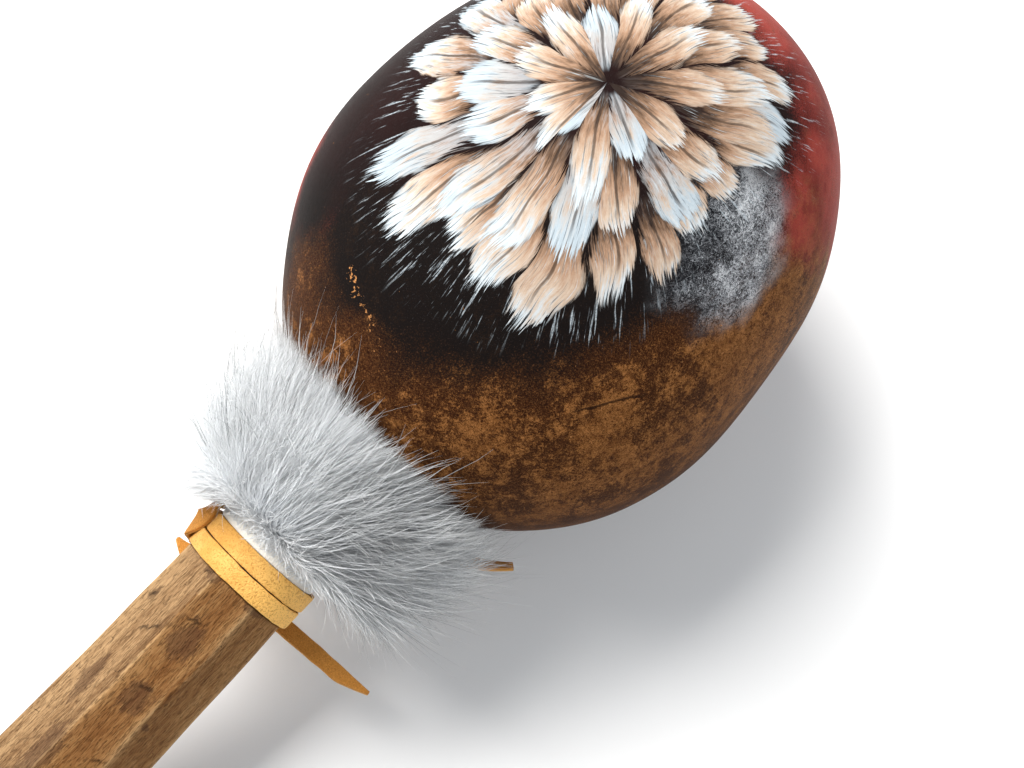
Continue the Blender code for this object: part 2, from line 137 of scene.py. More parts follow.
def skinned(name, rings, start=None, end=None, looped=False):
    """A laid-down piece through rings of points. An end closes on a pole, or flat where there is none."""
    count = len(rings[0])
    points, faces = joined(rings, looped)
    ends = () if looped else ((start, 0), (end, len(rings) * count - count))
    for pole, first in ends:
        loop = range(first, first + count)
        if pole is None:
            faces.append(tuple(loop))
            continue
        points.append(tuple(pole))
        middle = len(points) - 1
        faces += [(loop[i], loop[(i + 1) % count], middle) for i in range(count)]
    mesh = bpy.data.meshes.new(name)
    mesh.from_pydata(points, [], faces)
    bm = bmesh.new()
    bm.from_mesh(mesh)
    bmesh.ops.recalc_face_normals(bm, faces=bm.faces)
    bm.to_mesh(mesh)
    bm.free()
    mesh.transform(lying)
    mesh.shade_smooth()
    piece = bpy.data.objects.new(name, mesh)
    bpy.context.scene.collection.objects.link(piece)
    return piece


def gourd():
    outside = egg_stations(TIP_REACH, SHOULDER_REACH, -SHOULDER_REACH, GOURD_STEPS)
    rings = [ring(TIP_REACH + SCAR_HEIGHT * (1 - part**2), SCAR_RADIUS * part) for part in (0.35, 0.7, 0.95)]
    turn = np.arange(GOURD_SIDES) * 2 * pi / GOURD_SIDES
    for station in outside:
        radii = np.full(GOURD_SIDES, gourd_radius(station))
        for at, spread, side, amount in LEANS:
            radii += amount * np.exp(-(((station - at) / spread) ** 2)) * np.maximum(0, side * np.cos(turn))
        points = ring(station, radii)
        lumpy = min(1.0, max(0.0, (station - LUMP_START) / LUMP_RUN))
        lumpy *= min(1.0, gourd_radius(station) / LUMP_TIP)
        for point in points:
            lump = noise.noise(Vector(point) / GOURD_LUMP_SIZE)
            point *= 1 + GOURD_LUMP * lumpy * lump / GIRTH_RADIUS
        rings.append(points)
    rings.append(ring(-NECK_CUT + NECK_EDGE, NECK_RADIUS))
    rings += [ring(-NECK_CUT, radius) for radius in (NECK_RADIUS - NECK_EDGE_DEPTH, BORE_RADIUS)]
    reach = SHOULDER_REACH - GOURD_WALL
    mouth = -reach * sqrt(1 - (BORE_RADIUS / (GIRTH_RADIUS - GOURD_WALL)) ** 2)
    inside = egg_stations(TIP_REACH - GOURD_WALL, reach, mouth, CHAMBER_STEPS)
    rings += [ring(station, chamber_radius(station)) for station in reversed(inside)]
    scar_top = (TIP_REACH + SCAR_HEIGHT, 0, 0)
    return skinned("painted_gourd", rings, scar_top, (TIP_REACH - GOURD_WALL, 0, 0))


class Flow:
    """An output in a node tree, or none yet. Operators on values add Math nodes."""

    def __init__(self, tree, output=None):
        self.tree = tree
        self.output = output

    def node(self, kind, settings, inputs, out=0):
        made = self.tree.nodes.new(kind)
        for name, value in settings.items():
            setattr(made, name, value)
        for key, value in inputs.items():
            if isinstance(value, Flow):
                self.tree.links.new(value.output, made.inputs[key])
            else:
                made.inputs[key].default_value = value
        return Flow(self.tree, made.outputs[out])

    def math(self, operation, *others):
        return self.node("ShaderNodeMath", {"operation": operation}, dict(enumerate((self, *others))))

    def __add__(self, other):
        return self.math("ADD", other)

    def __sub__(self, other):
        return self.math("SUBTRACT", other)

    def __rsub__(self, other):
        return self.node("ShaderNodeMath", {"operation": "SUBTRACT"}, {0: other, 1: self})

    def __mul__(self, other):
        return self.math("MULTIPLY", other)

    def __truediv__(self, other):
        return self.math("DIVIDE", other)

    __radd__ = __add__
    __rmul__ = __mul__


def ramp(value, stops):
    """A colour that follows a value through stops of (place, colour)."""
    made = value.node("ShaderNodeValToRGB", {}, {0: value})
    elements = made.output.node.color_ramp.elements
    while len(elements) < len(stops):
        elements.new(0.5)
    for element, (place, colour) in zip(elements, stops):
        element.position = place
        element.color = colour
    return made


def shade(red, green, blue):
    """A colour of 0 to 255 as the eye sees it, in the linear values that a shader takes."""
    linear = [((c / 255 + 0.055) / 1.055) ** 2.4 if c > 10 else c / 3294 for c in (red, green, blue)]
    return (*linear, 1)


def fade(value, low, high):
    """0 below low, 1 above high, and smooth between them."""
    inputs = {"Value": value, "From Min": low, "From Max": high}
    return value.node("ShaderNodeMapRange", {"interpolation_type": "SMOOTHSTEP"}, inputs)


def mixed(amount, first, second):
    """A colour between two, by an amount from 0 to 1."""
    return amount.node("ShaderNodeMix", {"data_type": "RGBA"}, {0: amount, 6: first, 7: second}, 2)


def vector(x, y, z):
    return x.node("ShaderNodeCombineXYZ", {}, {0: x, 1: y, 2: z})


def parts(place):
    """The three values of a vector."""
    split = place.node("ShaderNodeSeparateXYZ", {}, {0: place})
    return [Flow(place.tree, output) for output in split.output.node.outputs]


def cloudy(place, scale, detail=4.0, rough=0.6, twist=0.0):
    """Soft noise from 0 to 1, with features of about one over its scale."""
    inputs = {"Vector": place, "Scale": scale, "Detail": detail, "Roughness": rough, "Distortion": twist}
    return place.node("ShaderNodeTexNoise", {}, inputs)


def stretched(place, x, y, z):
    return place.node("ShaderNodeVectorMath", {"operation": "MULTIPLY"}, {0: place, 1: (x, y, z)})


def new_finish(name):
    """A material, and its place along the rattle in millimetres."""
    material = bpy.data.materials.new(name)
    material.use_nodes = True
    start = Flow(material.node_tree)
    spot = start.node("ShaderNodeTexCoord", {}, {}, "Object")
    turned_back = {"Vector": spot, "Location": girth_middle, "Rotation": lying.to_euler()}
    place = start.node("ShaderNodeMapping", {"vector_type": "TEXTURE"}, turned_back)
    place = place.node("ShaderNodeVectorMath", {"operation": "SCALE"}, {0: place, "Scale": 1000.0})
    return material, place


def finished(material, colour, roughness, height, depth, **constants):
    """Sets a material's varying values, its bump of a depth in metres, and its constants."""
    surface = material.node_tree.nodes["Principled BSDF"]
    links = material.node_tree.links
    links.new(colour.output, surface.inputs["Base Color"])
    links.new(roughness.output, surface.inputs["Roughness"])
    bump = height.node("ShaderNodeBump", {}, {"Height": height, "Distance": depth, "Strength": 1.0})
    links.new(bump.output, surface.inputs["Normal"])
    for name, value in constants.items():
        surface.inputs[name.replace("_", " ").title().replace("Ior", "IOR")].default_value = value
    return material


WREATH_STATION = 28.0  # millimetres, as are the painting's other places and sizes
WREATH_SIDE = 14.0
HALO_REACH = 47.0
SCRATCH_START = (-25.0, -26.0)  # station and side
SCRATCH_WAY = (0.85, -0.53)
FLAKES_START = (-32.0, 26.0)
FLAKES_WAY = (-0.55, -0.835)
STIPPLE_AHEAD = -5.0  # the grey patch's middle, seen from the wreath's
STIPPLE_BESIDE = -43.0
FEATHER_RINGS = (  # how many feathers, where they start, how long they are, and the ring's turn
    (23, 25.0, 21.0, 0.2),
    (17, 13.0, 22.0, 0.65),
    (11, 2.0, 20.0, 0.1),
)


def around_wreath(place):
    """Distance from the wreath's middle over the gourd's surface, the turn round it, and its two shares."""
    station, side, up = parts(place)
    mean_radius = 500 * (GIRTH_RADIUS + TIP_REACH)
    tip = 1000 * TIP_REACH
    meridian = (station / tip).math("MINIMUM", 1.0).math("MAXIMUM", -1.0).math("ARCSINE") * mean_radius
    ahead = meridian - mean_radius * asin(WREATH_STATION / tip)
    radius = (side * side + up * up).math("SQRT")
    beside = side.math("ARCTAN2", up) * radius - WREATH_SIDE
    reach = (ahead * ahead + beside * beside).math("SQRT")
    return reach, beside.math("ARCTAN2", ahead), ahead, beside


def chances(number, offset):
    """Three values from 0 to 1 that belong to a number."""
    seed = {"W": number + offset}
    picked = number.node("ShaderNodeTexWhiteNoise", {"noise_dimensions": "1D"}, seed, "Color")
    return parts(picked)


def feather_ring(place, reach, turn, count, start, length, offset):
    """Colour and cover of a ring of feathers in dry brush strokes, pointing outwards."""
    bend = (cloudy(place, 0.028, 2.0, 0.5) - 0.5) * 0.45
    cell = (turn + bend) * (count / (2 * pi)) + offset
    number = cell.math("FLOOR")
    long, aim, hue = chances(number, offset * 37)
    across = (cell - number - 0.5 + (aim - 0.5) * 0.24) * reach * (2 * pi / count)
    aside = across.math("ABSOLUTE")
    barbs = reach - aside * 1.3
    bristle = cloudy(vector(across * 2.6, barbs * 0.10, number * 5.3), 1.0, 3.0, 0.7)
    stroke = cloudy(vector(across * 0.9, barbs * 0.20, number * 3.1), 1.0, 3.0, 0.65)
    along = (reach - start + (aim - 0.5) * 4) / ((long * 0.5 + 0.72) * length)
    tip = along + (bristle - 0.5) * 0.70
    widths = ((0.0, 0.30), (0.25, 0.72), (0.60, 1.0), (0.86, 0.72), (1.0, 0.0))
    half_width = ramp(tip, [(at, (w, w, w, 1)) for at, w in widths])
    half_width = half_width * (1.10 * pi * (start + 0.6 * length) / count)
    ragged = half_width - aside + (stroke - 0.5) * 2.2 + (bristle - 0.5) * 2.6
    cover = fade(ragged, 0.0, 0.5) * fade(tip, 1.0, 0.9) * fade(along, -0.05, 0.05)
    tints = (
        (0.0, shade(44, 34, 30)),
        (0.18, shade(98, 76, 60)),
        (0.40, shade(158, 127, 104)),
        (0.64, shade(186, 167, 149)),
        (0.86, shade(190, 200, 206)),
    )
    tint_at = tip + (stroke - 0.5) * 0.7 + (hue - 0.5) * 0.35
    colour = ramp(tint_at, tints)
    colour = mixed(fade(hue + (stroke - 0.5) * 0.8, 0.62, 0.9) * 0.6, colour, shade(150, 164, 174))
    colour = mixed(fade(bristle, 0.53, 0.66) * 0.66, colour, shade(62, 58, 58))
    colour = mixed(fade(bristle, 0.42, 0.30) * 0.6, colour, shade(198, 206, 210))
    edge = fade(aside - half_width + (bristle - 0.5) * 1.6, -1.5, 0.2) * 0.55
    colour = mixed(edge, colour, shade(40, 36, 36))
    quill = fade(aside + (stroke - 0.5) * 0.5, 0.45, 0.15) * fade(along, 0.9, 0.6) * 0.7
    return mixed(quill, colour, shade(46, 38, 34)), cover


def along_mark(station, side, begin, way):
    """How far a place is along a straight mark, and how far off it."""
    past = (station - begin[0]) * way[0] + (side - begin[1]) * way[1]
    off = (station - begin[0]) * way[1] - (side - begin[1]) * way[0]
    return past, off


def bare_skin(place, edge):
    """Colour of the mottled skin, darker beside the painting, with blotches, fibre, scratch and painted shade
    below.
    """
    station, side, up = parts(place)
    patch = cloudy(place, 0.060, 6.0, 0.66, 0.7)
    blotch = cloudy(place, 0.30, 7.0, 0.80, 0.3)
    fibre = cloudy(place, 1.5, 4.0, 0.7, 1.2)
    dash = cloudy(stretched(place, 1.0, 1.5, 1.2), 1.25, 5.0, 0.75, 1.8)
    fleck = cloudy(stretched(place, 1.4, 1.0, 1.2), 2.4, 3.0, 0.75, 1.4)
    ground = mixed(fade(fibre, 0.3, 0.7), shade(46, 23, 10), shade(76, 44, 24))
    tan = mixed(fade(blotch + (fibre - 0.5) * 0.4, 0.40, 0.66), shade(106, 65, 32), shade(156, 104, 58))
    pale = patch * 0.52 + blotch * 0.48 + (fibre - 0.5) * 0.26
    pale = pale - fade(edge, HALO_REACH + 20, HALO_REACH) * 0.08
    pale = pale + fade(side, -18.0, -42.0) * (0.02 + fade(station, -12.0, 12.0) * 0.03)
    skin = mixed(fade(pale, 0.445, 0.535), ground, tan)
    skin = mixed(fade(dash, 0.54, 0.59) * 0.75, skin, shade(36, 18, 9))
    skin = mixed(fade(fleck, 0.52, 0.57) * 0.78, skin, shade(36, 18, 8))
    skin = mixed(fade(fleck, 0.46, 0.38) * 0.35, skin, shade(164, 114, 68))
    ribs = cloudy(vector(station * 0.03, side.math("ARCTAN2", up) * 11.0, fibre * 0.5), 1.0, 4.0, 0.6, 0.4)
    skin = mixed(fade(ribs, 0.48, 0.60) * fade(up, 36.0, 8.0) * 0.6, skin, shade(52, 30, 18))
    # Painted shade: the skin darkens towards its underside, most of all towards the neck.
    skin = mixed(fade(up, 30.0, 6.0) * (0.12 + fade(station, 28.0, -14.0) * 0.50), skin, shade(54, 28, 11))
    past, off = along_mark(station, side, SCRATCH_START, SCRATCH_WAY)
    off = (off + (blotch - 0.5) * 1.6).math("ABSOLUTE")
    scratch = fade(off, 0.32, 0.10) * fade(past, 0.0, 3.0) * fade(past, 18.5, 14.0) * fade(up, 0.0, 10.0)
    return mixed(scratch * 0.8, skin, shade(30, 17, 11)), blotch, fibre, scratch


def gourd_finish():
    material, place = new_finish("painted_and_varnished_gourd")
    station, side, up = parts(place)
    reach, turn, ahead, beside = around_wreath(place)
    wander = cloudy(place, 0.05, 3.0, 0.55)
    spray = cloudy(place, 3.2, 2.0, 0.6)
    edge = reach + (wander - 0.5) * 20 + 5 - fade(beside, 24.0, 46.0) * 12
    edge = edge - fade(beside - ahead, -40.0, 50.0) * 20
    skin, blotch, fibre, scratch = bare_skin(place, edge)
    scar = fade((side * side + up * up).math("SQRT") + (fibre - 0.5), 4.2, 2.8) * fade(station, 60.0, 68.0)

    upward = station * 0.73 + side * 0.68 + (wander - 0.5) * 30 + fade(beside, -42.0, -62.0) * 9
    red_cover = fade(upward + (spray - 0.5) * 12, 2.0, 16.0) * fade(up + (wander - 0.5) * 40, -34.0, -8.0)
    rubbed = fade(blotch + (spray - 0.5) * 0.5, 0.54, 0.70) * 0.8
    red = mixed(fade(wander + (blotch - 0.5) * 0.5, 0.34, 0.64), shade(110, 36, 31), shade(152, 60, 52))
    red = mixed(rubbed, red, shade(88, 44, 36))
    colour = mixed(red_cover * 0.92, skin, red)

    halo = fade(edge + (spray - 0.5) * 18, HALO_REACH + 8, HALO_REACH - 5)
    soot = mixed(fade(spray, 0.62, 0.75) * 0.3, shade(19, 17, 17), shade(70, 70, 72))
    colour = mixed(halo * 0.97, colour, soot)
    far_ahead = ahead - STIPPLE_AHEAD
    far_beside = beside - STIPPLE_BESIDE
    stipple_spot = far_ahead * far_ahead * 0.8 + far_beside * far_beside
    curls = cloudy(place, 1.05, 5.0, 0.88, 2.4)
    stipple_spot = stipple_spot.math("SQRT") + (wander - 0.5) * 18 + (curls - 0.5) * 14
    stipple = fade(stipple_spot, 18.0, 9.0)
    lighter = curls + (cloudy(place, 0.16, 3.0, 0.6) - 0.5) * 0.35 - fade(ahead - beside, 42.0, 26.0) * 0.07
    grey = mixed(fade(lighter, 0.40, 0.52), shade(22, 23, 26), shade(122, 125, 130))
    grey = mixed(fade(lighter, 0.50, 0.59) * 0.92, grey, shade(206, 209, 212))
    colour = mixed(stipple * 0.92, colour, grey)

    reach = reach + fade(beside, -14.0, -40.0) * fade(ahead, 18.0, 4.0) * fade(ahead, -34.0, -18.0) * 9
    streak = cloudy(vector(turn * 72.0, reach * 0.10, wander * 2.0), 1.0, 3.0, 0.7)
    strokes = fade(streak, 0.58, 0.66) * fade(reach + (wander - 0.5) * 16, 54.0, 46.0)
    strokes = strokes * fade(reach, 36.0, 42.0)
    brushed = mixed(fade(spray, 0.3, 0.7), shade(120, 132, 142), shade(200, 208, 212))
    colour = mixed(strokes * 0.7, colour, brushed)
    cover = halo * 0
    for count, begin, length, offset in FEATHER_RINGS:
        feather, ring_cover = feather_ring(place, reach, turn, count, begin, length, offset)
        colour = mixed(ring_cover, colour, feather)
        cover = cover.math("MAXIMUM", ring_cover)
    past, off = along_mark(station, side, FLAKES_START, FLAKES_WAY)
    off = (off + (wander - 0.5) * 8).math("ABSOLUTE")
    flaked = fade(off, 2.0, 0.3) * fade(past, -1.0, 1.0) * fade(past, 26.0, 6.0)
    chip = fade(cloudy(place, 0.85, 3.0, 0.65, 0.6) + flaked * 0.17, 0.725, 0.745) * fade(reach, 46.0, 54.0)
    colour = mixed(chip, colour, shade(176, 122, 74))
    colour = mixed(scar * 0.85, colour, mixed(fibre, shade(52, 32, 20), shade(120, 80, 48)))

    roughness = 0.44 + (fibre - 0.5) * 0.16 + cover * 0.10
    height = fibre * 0.5 + blotch * 0.35 + cover * 0.8 - chip * 0.6 - scratch * 0.8 + curls * stipple * 0.4
    return finished(material, colour, roughness, height, 0.00018, specular_ior_level=0.012)


painted_gourd = gourd()
painted_gourd.data.materials.append(gourd_finish())
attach(painted_gourd, "rattle")
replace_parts(painted_gourd, "gourd_shell")

# Handle. A stick of light hardwood, whittled to eight flats, with the knife's long cuts still showing, oiled
# and stained by the hand. A round seat under the tie runs into a tenon, which fits the gourd's cut neck.

FIT_GAP = 0.0003
LACE_WIDTH = 0.0041
LACE_SPACE = 0.0006
LOWER_TIE = 0.0942
TIE_HALF = LACE_WIDTH + LACE_SPACE / 2
SEAT_START = -LOWER_TIE - TIE_HALF - FIT_GAP
GRIP_FLAT = 0.01365
BUTT_FLAT = 0.0165
BUTT_SWELL = 1.6
FLAT_COUNT = 8
BUTT_CHAMFER = 0.0024
SEAT_RADIUS = 0.0125
SEAT_TAPER = 0.0007  # how much thinner the seat is at the fur, where the tie is drawn tightest
TENON_RADIUS = 0.0100
TENON_LENGTH = 0.0260
TENON_CHAMFER = 0.0012
CUT_DEPTH = 0.00045  # how far the knife wandered in and out
CUT_LENGTH = 0.022
CUT_SWAY = 0.07  # radians by which a flat turns as it goes along
FLAT_INSETS = (0, 0.0006, 0, 0.0002, 0, 0.0003, 0, 0.0002)  # how much deeper each flat was cut
FLAT_TURNS = (0, 0, radians(9), radians(5), 0, 0, 0, 0)  # how far each flat is turned from an even octagon
FLAT_PAINTED_LIGHT = (0.75, 0.88, 0.06, 0.19, 0.15, 0.6, 0.4, 0.7)  # painted light and shade on each flat: paler facing the window, darker on top and the far side
# the sawn end's level in the flats' painted light and shade, the same all over the end
SAWN_TONE = 0.3
RIDGE_SOFTNESS = 0.00008
RIDGE_SPREAD = 0.0004
GRAIN_DEPTH = 0.00004
GRAIN_LENGTH = 0.014
GRAIN_WIDTH = 0.0011
HANDLE_SIDES = 180
HANDLE_STEP = 0.00026


def seat_radius(station):
    return SEAT_RADIUS - SEAT_TAPER * max(0.0, min(1.0, (station - SEAT_START) / (2 * TIE_HALF)))


def whittled_radii(station):
    """Radius at each turn round the handle, with worn ridges and open grain, nearness to a ridge and painted
    light.
    """
    share = (SEAT_START - station) / (SEAT_START + HANDLE_END)
    flat = GRIP_FLAT + (BUTT_FLAT - GRIP_FLAT) * max(0.0, share) ** BUTT_SWELL
    turn = np.arange(HANDLE_SIDES) * 2 * pi / HANDLE_SIDES
    distances = []
    for k in range(FLAT_COUNT):
        wander = noise.noise(Vector((station / CUT_LENGTH, 7.3 * k, 0.5)))
        sway = noise.noise(Vector((station / (2 * CUT_LENGTH), 4.1 * k, 9.5)))
        away = np.cos(turn - (2 * pi * k / FLAT_COUNT + FLAT_TURNS[k] + CUT_SWAY * sway))
        distances.append((flat - FLAT_INSETS[k] + CUT_DEPTH * (wander - 0.4)) / np.maximum(away, 0.2))
    painted_lights = np.array(FLAT_PAINTED_LIGHT)[np.argmin(distances, axis=0)]
    first, second = np.sort(distances, axis=0)[:2]
    ridge = np.exp((first - second) / RIDGE_SPREAD)
    radii = first - RIDGE_SOFTNESS * np.log1p(np.exp((first - second) / RIDGE_SOFTNESS))
    for i, (angle, radius) in enumerate(zip(turn, radii)):
        across = Vector((0, cos(angle), sin(angle))) * (radius / GRAIN_WIDTH)
        radii[i] += GRAIN_DEPTH * (noise.noise(across + Vector((station / GRAIN_LENGTH, 0, 0))) - 0.5)
    return radii, ridge, painted_lights


def handle():
    back = -HANDLE_END
    front = -NECK_CUT - FIT_GAP
    butt, *flats_end = whittled_radii(back)
    sawn_end = np.stack([np.zeros(HANDLE_SIDES), np.full(HANDLE_SIDES, SAWN_TONE)])
    rings = [ring(back, butt * share) for share in (0.3, 0.6)]
    for step in range(7):
        rise = pi / 2 * step / 6
        rings.append(ring(back + BUTT_CHAMFER * (1 - cos(rise)), butt - BUTT_CHAMFER * (1 - sin(rise))))
    looks = [sawn_end] * (len(rings) - 1) + [np.stack(flats_end)]
    count = int((SEAT_START - back - BUTT_CHAMFER) / HANDLE_STEP)
    for i in range(1, count):
        station = back + BUTT_CHAMFER + (SEAT_START - back - BUTT_CHAMFER) * i / count
        radii, *look = whittled_radii(station)
        rings.append(ring(station, radii))
        looks.append(look)
    end = front + TENON_LENGTH
    for station, radius in (
        (SEAT_START, SEAT_RADIUS),
        (SEAT_START + 2 * TIE_HALF, SEAT_RADIUS - SEAT_TAPER),
        (front, SEAT_RADIUS - SEAT_TAPER),
        (front, TENON_RADIUS),
        (end - TENON_CHAMFER, TENON_RADIUS),
        (end, TENON_RADIUS - TENON_CHAMFER),
    ):
        rings.append(ring(station, np.full(HANDLE_SIDES, radius)))
        looks.append(np.zeros((2, HANDLE_SIDES)))
    piece = skinned("whittled_handle", rings, (back, 0, 0), (end, 0, 0))
    for name, values in zip(("ridge", "flat_painted_light"), np.swapaxes(looks, 0, 1)):
        look = piece.data.attributes.new(name, "FLOAT", "POINT")
        look.data.foreach_set("value", np.append(values.ravel(), [0, 0]))
    return piece


STAINS = (  # station, side, length and width of the handle's dark stains, in millimetres
    (-114.0, -0.8, 4.8, 3.6),
    (-108.5, 0.7, 0.8, 0.8),
    (-129.5, -1.5, 4.4, 3.0),
    (-98.5, -6.7, 2.6, 2.4),
    (-99.5, 4.5, 1.5, 2.6),
    (-134.0, 9.0, 6.5, 1.6),
    (-111.5, 11.2, 2.4, 0.7),
    (-133.0, -7.5, 0.8, 0.8),
    (-152.0, 5.0, 9.0, 3.0),
    (-172.0, -6.0, 10.0, 3.5),
)
CRACKS = (  # station and side where a crack starts, its way, and its length in millimetres
    (-101.0, 7.2, 0.69, -0.73, 6.0),
    (-119.4, 8.6, 0.78, -0.62, 6.5),
    (-113.4, 12.6, 0.80, -0.60, 4.0),
    (-127.4, 0.6, 0.37, -0.93, 5.0),
    (-110.0, 3.2, 0.20, -0.98, 5.5),
    (-146.0, -3.0, 0.60, -0.80, 5.0),
    (-163.0, 8.0, 0.75, -0.66, 6.0),
)


def attribute(place, name):
    return place.node("ShaderNodeAttribute", {"attribute_name": name}, {}, "Fac")


def wood_finish():
    material, place = new_finish("oiled_wood")
    broad = cloudy(stretched(place, 0.026, 0.30, 0.30), 1.0, 4.0, 0.6, 0.7)
    grain = cloudy(stretched(place, 0.26, 2.6, 2.6), 1.0, 5.0, 0.80, 0.4)
    pores = fade(cloudy(stretched(place, 0.55, 4.2, 4.2), 1.0, 3.0, 0.6, 0.3), 0.54, 0.63)
    figure = broad * 0.40 + grain * 0.60
    tints = (
        (0.34, shade(92, 60, 33)),
        (0.44, shade(128, 88, 51)),
        (0.53, shade(152, 111, 68)),
        (0.64, shade(180, 140, 92)),
    )
    colour = ramp(figure, tints)
    # Painted light and shade on the flats: those facing the window are mixed towards a paler wood, those on
    # top and on the far side towards a dark brown.
    facet_painted_light = attribute(place, "flat_painted_light")
    lit_facet_colour = mixed(fade(figure, 0.36, 0.62), shade(98, 74, 50), shade(157, 131, 99))
    colour = mixed(facet_painted_light * 0.75, colour, lit_facet_colour)
    colour = mixed(fade(facet_painted_light, 0.40, 0.05) * 0.40, colour, shade(98, 57, 24))
    # Painted highlight: the wood is lighter in patches along the ridges between the flats.
    ridge = attribute(place, "ridge")
    colour = mixed(ridge * fade(broad, 0.35, 0.55) * 0.6, colour, shade(208, 172, 124))
    station, side, up = parts(place)
    ragged = (cloudy(stretched(place, 0.35, 0.7, 0.7), 1.0, 5.0, 0.75) - 0.5) * 2.2 + (grain - 0.5) * 1.6
    worn = cloudy(stretched(place, 0.05, 0.13, 0.13), 1.0, 4.0, 0.6, 0.6) + ragged * 0.05
    dark = fade(worn, 0.62, 0.72) * 0.3
    for at, aside, length, width in STAINS:
        far_along = (station - at) / length
        far_aside = (side - aside) / width
        spread = (far_along * far_along + far_aside * far_aside).math("SQRT") + ragged
        dark = dark.math("MAXIMUM", fade(spread, 1.15, 0.75) * fade(up, -4.0, 2.0) * 0.55)
    colour = mixed(dark, colour, shade(72, 49, 36))
    colour = mixed(pores * 0.5, colour, shade(66, 42, 24))
    nick = fade(cloudy(stretched(place, 0.8, 0.28, 0.28), 1.0, 3.0, 0.7, 1.6), 0.69, 0.72)
    for at, aside, way_along, way_aside, length in CRACKS:
        past, off = along_mark(station, side, (at, aside), (way_along, way_aside))
        off = (off + ragged * 1.3).math("ABSOLUTE")
        crack = fade(off, 0.50, 0.10) * fade(past, 0.0, 1.5) * fade(past, length, length - 2.0)
        nick = nick.math("MAXIMUM", crack * fade(up, 0.0, 4.0) * fade(grain + ragged * 0.1, 0.38, 0.56))
    colour = mixed(nick * 0.72, colour, shade(40, 28, 22))
    roughness = 0.60 - dark * 0.08 + (grain - 0.5) * 0.2
    height = grain * 0.9 + broad * 0.3 - pores * 0.6 - nick * 0.8
    return finished(material, colour, roughness, height, 0.00022, specular_ior_level=0.04)


PEG_RADIUS = 0.0020
PEG_INSET = 0.0085
DRILL_LENGTH = 0.06


def drilled(piece):
    """Drills the peg's hole across a piece."""
    bm = bmesh.new()
    across = Matrix.Translation((PEG_INSET - NECK_CUT, 0, 0)) @ Matrix.Rotation(pi / 2, 4, "X")
    radius = PEG_RADIUS + FIT_GAP
    sizes = {"radius1": radius, "radius2": radius, "depth": DRILL_LENGTH, "segments": 32}
    bmesh.ops.create_cone(bm, cap_ends=True, matrix=lying @ across, **sizes)
    mesh = bpy.data.meshes.new("peg_drill")
    bm.to_mesh(mesh)
    bm.free()
    drill = bpy.data.objects.new("peg_drill", mesh)
    bpy.context.scene.collection.objects.link(drill)
    cut = piece.modifiers.new("peg_hole", "BOOLEAN")
    cut.object = drill
    result = bpy.data.meshes.new_from_object(piece.evaluated_get(bpy.context.evaluated_depsgraph_get()))
    piece.modifiers.remove(cut)
    piece.data = result
    bpy.data.objects.remove(drill)


drilled(painted_gourd)
whittled_handle = handle()
drilled(whittled_handle)
whittled_handle.data.materials.append(wood_finish())
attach(whittled_handle, "rattle")
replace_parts(whittled_handle, "handle")

# Peg. A bare wooden dowel, driven into the hole across the neck and the tenon and hidden by the collar. It
# keeps the handle in the gourd. The solid itself shows, in a wood finish.


def peg_finish():
    material, place = new_finish("peg_wood")
    grain = cloudy(stretched(place, 2.4, 0.12, 2.4), 1.0, 4.0, 0.65, 0.4)
    colour = mixed(fade(grain, 0.3, 0.7), shade(150, 112, 70), shade(206, 170, 120))
    return finished(material, colour, 0.62 + (grain - 0.5) * 0.2, grain, 0.0001)


frame["nodes"]["tenon_peg"].data.materials.clear()
frame["nodes"]["tenon_peg"].data.materials.append(peg_finish())

# Pebbles. Two dozen small river stones, loose in the chamber, where shaking throws them against the wall. The
# solids themselves show, in a finish of speckled stone.


def pebble_finish():
    material, place = new_finish("river_stone")
    tone = cloudy(place, 0.10, 2.0, 0.5)
    speck = cloudy(place, 2.4, 4.0, 0.7)
    colour = mixed(fade(tone, 0.35, 0.65), shade(104, 98, 92), shade(158, 138, 116))
    colour = mixed(fade(speck, 0.55, 0.70) * 0.6, colour, shade(70, 64, 60))
    return finished(material, colour, 0.66 + (speck - 0.5) * 0.2, speck, 0.0001)


river_stone = pebble_finish()
for name, node in frame["nodes"].items():
    if name.startswith("pebble_"):
        node.data.materials.clear()
        node.data.materials.append(river_stone)

# Hide. A strip of tanned skin, wrapped fur side out round the joint of gourd and handle, from a hem under the
# lower lace to an edge on the gourd's shoulder. Its two ends meet underneath. Fur and lace cover it.

HIDE_THICKNESS = 0.0005
COLLAR_TOP = 0.0535
HIDE_COVERED = 0.0028  # how much further the hair reaches at the gourd than its hide
HIDE_HEM = -LOWER_TIE - TIE_HALF
HIDE_SIDES = 120
HIDE_STEPS = 60
NECK_MARGIN = 0.002  # how far behind the cut neck the hide starts to lie on it
HIDE_SLIT = radians(3)
FUR_START = -LOWER_TIE + TIE_HALF + FIT_GAP


def hide_bed(station):
    """Radius of the inside of the hide: on the handle's seat, then on the neck and the shoulder."""
    on_seat = station < -NECK_CUT - NECK_MARGIN
    return (seat_radius(station) if on_seat else gourd_radius(max(station, -NECK_CUT))) + FIT_GAP


def hide():
    front = -COLLAR_TOP - HIDE_COVERED
    inside = [HIDE_HEM + (front - HIDE_HEM) * i / HIDE_STEPS for i in range(HIDE_STEPS + 1)]
    rows = [(s, hide_bed(s)) for s in inside]
    rows += [(s, hide_bed(s) + HIDE_THICKNESS) for s in reversed(inside)]
    turns_round = np.linspace(-pi / 2 + HIDE_SLIT / 2, 3 * pi / 2 - HIDE_SLIT / 2, HIDE_SIDES)
    rings = [[(s, r * cos(turn), r * sin(turn)) for s, r in rows] for turn in turns_round]
    return skinned("hide_strip", rings)


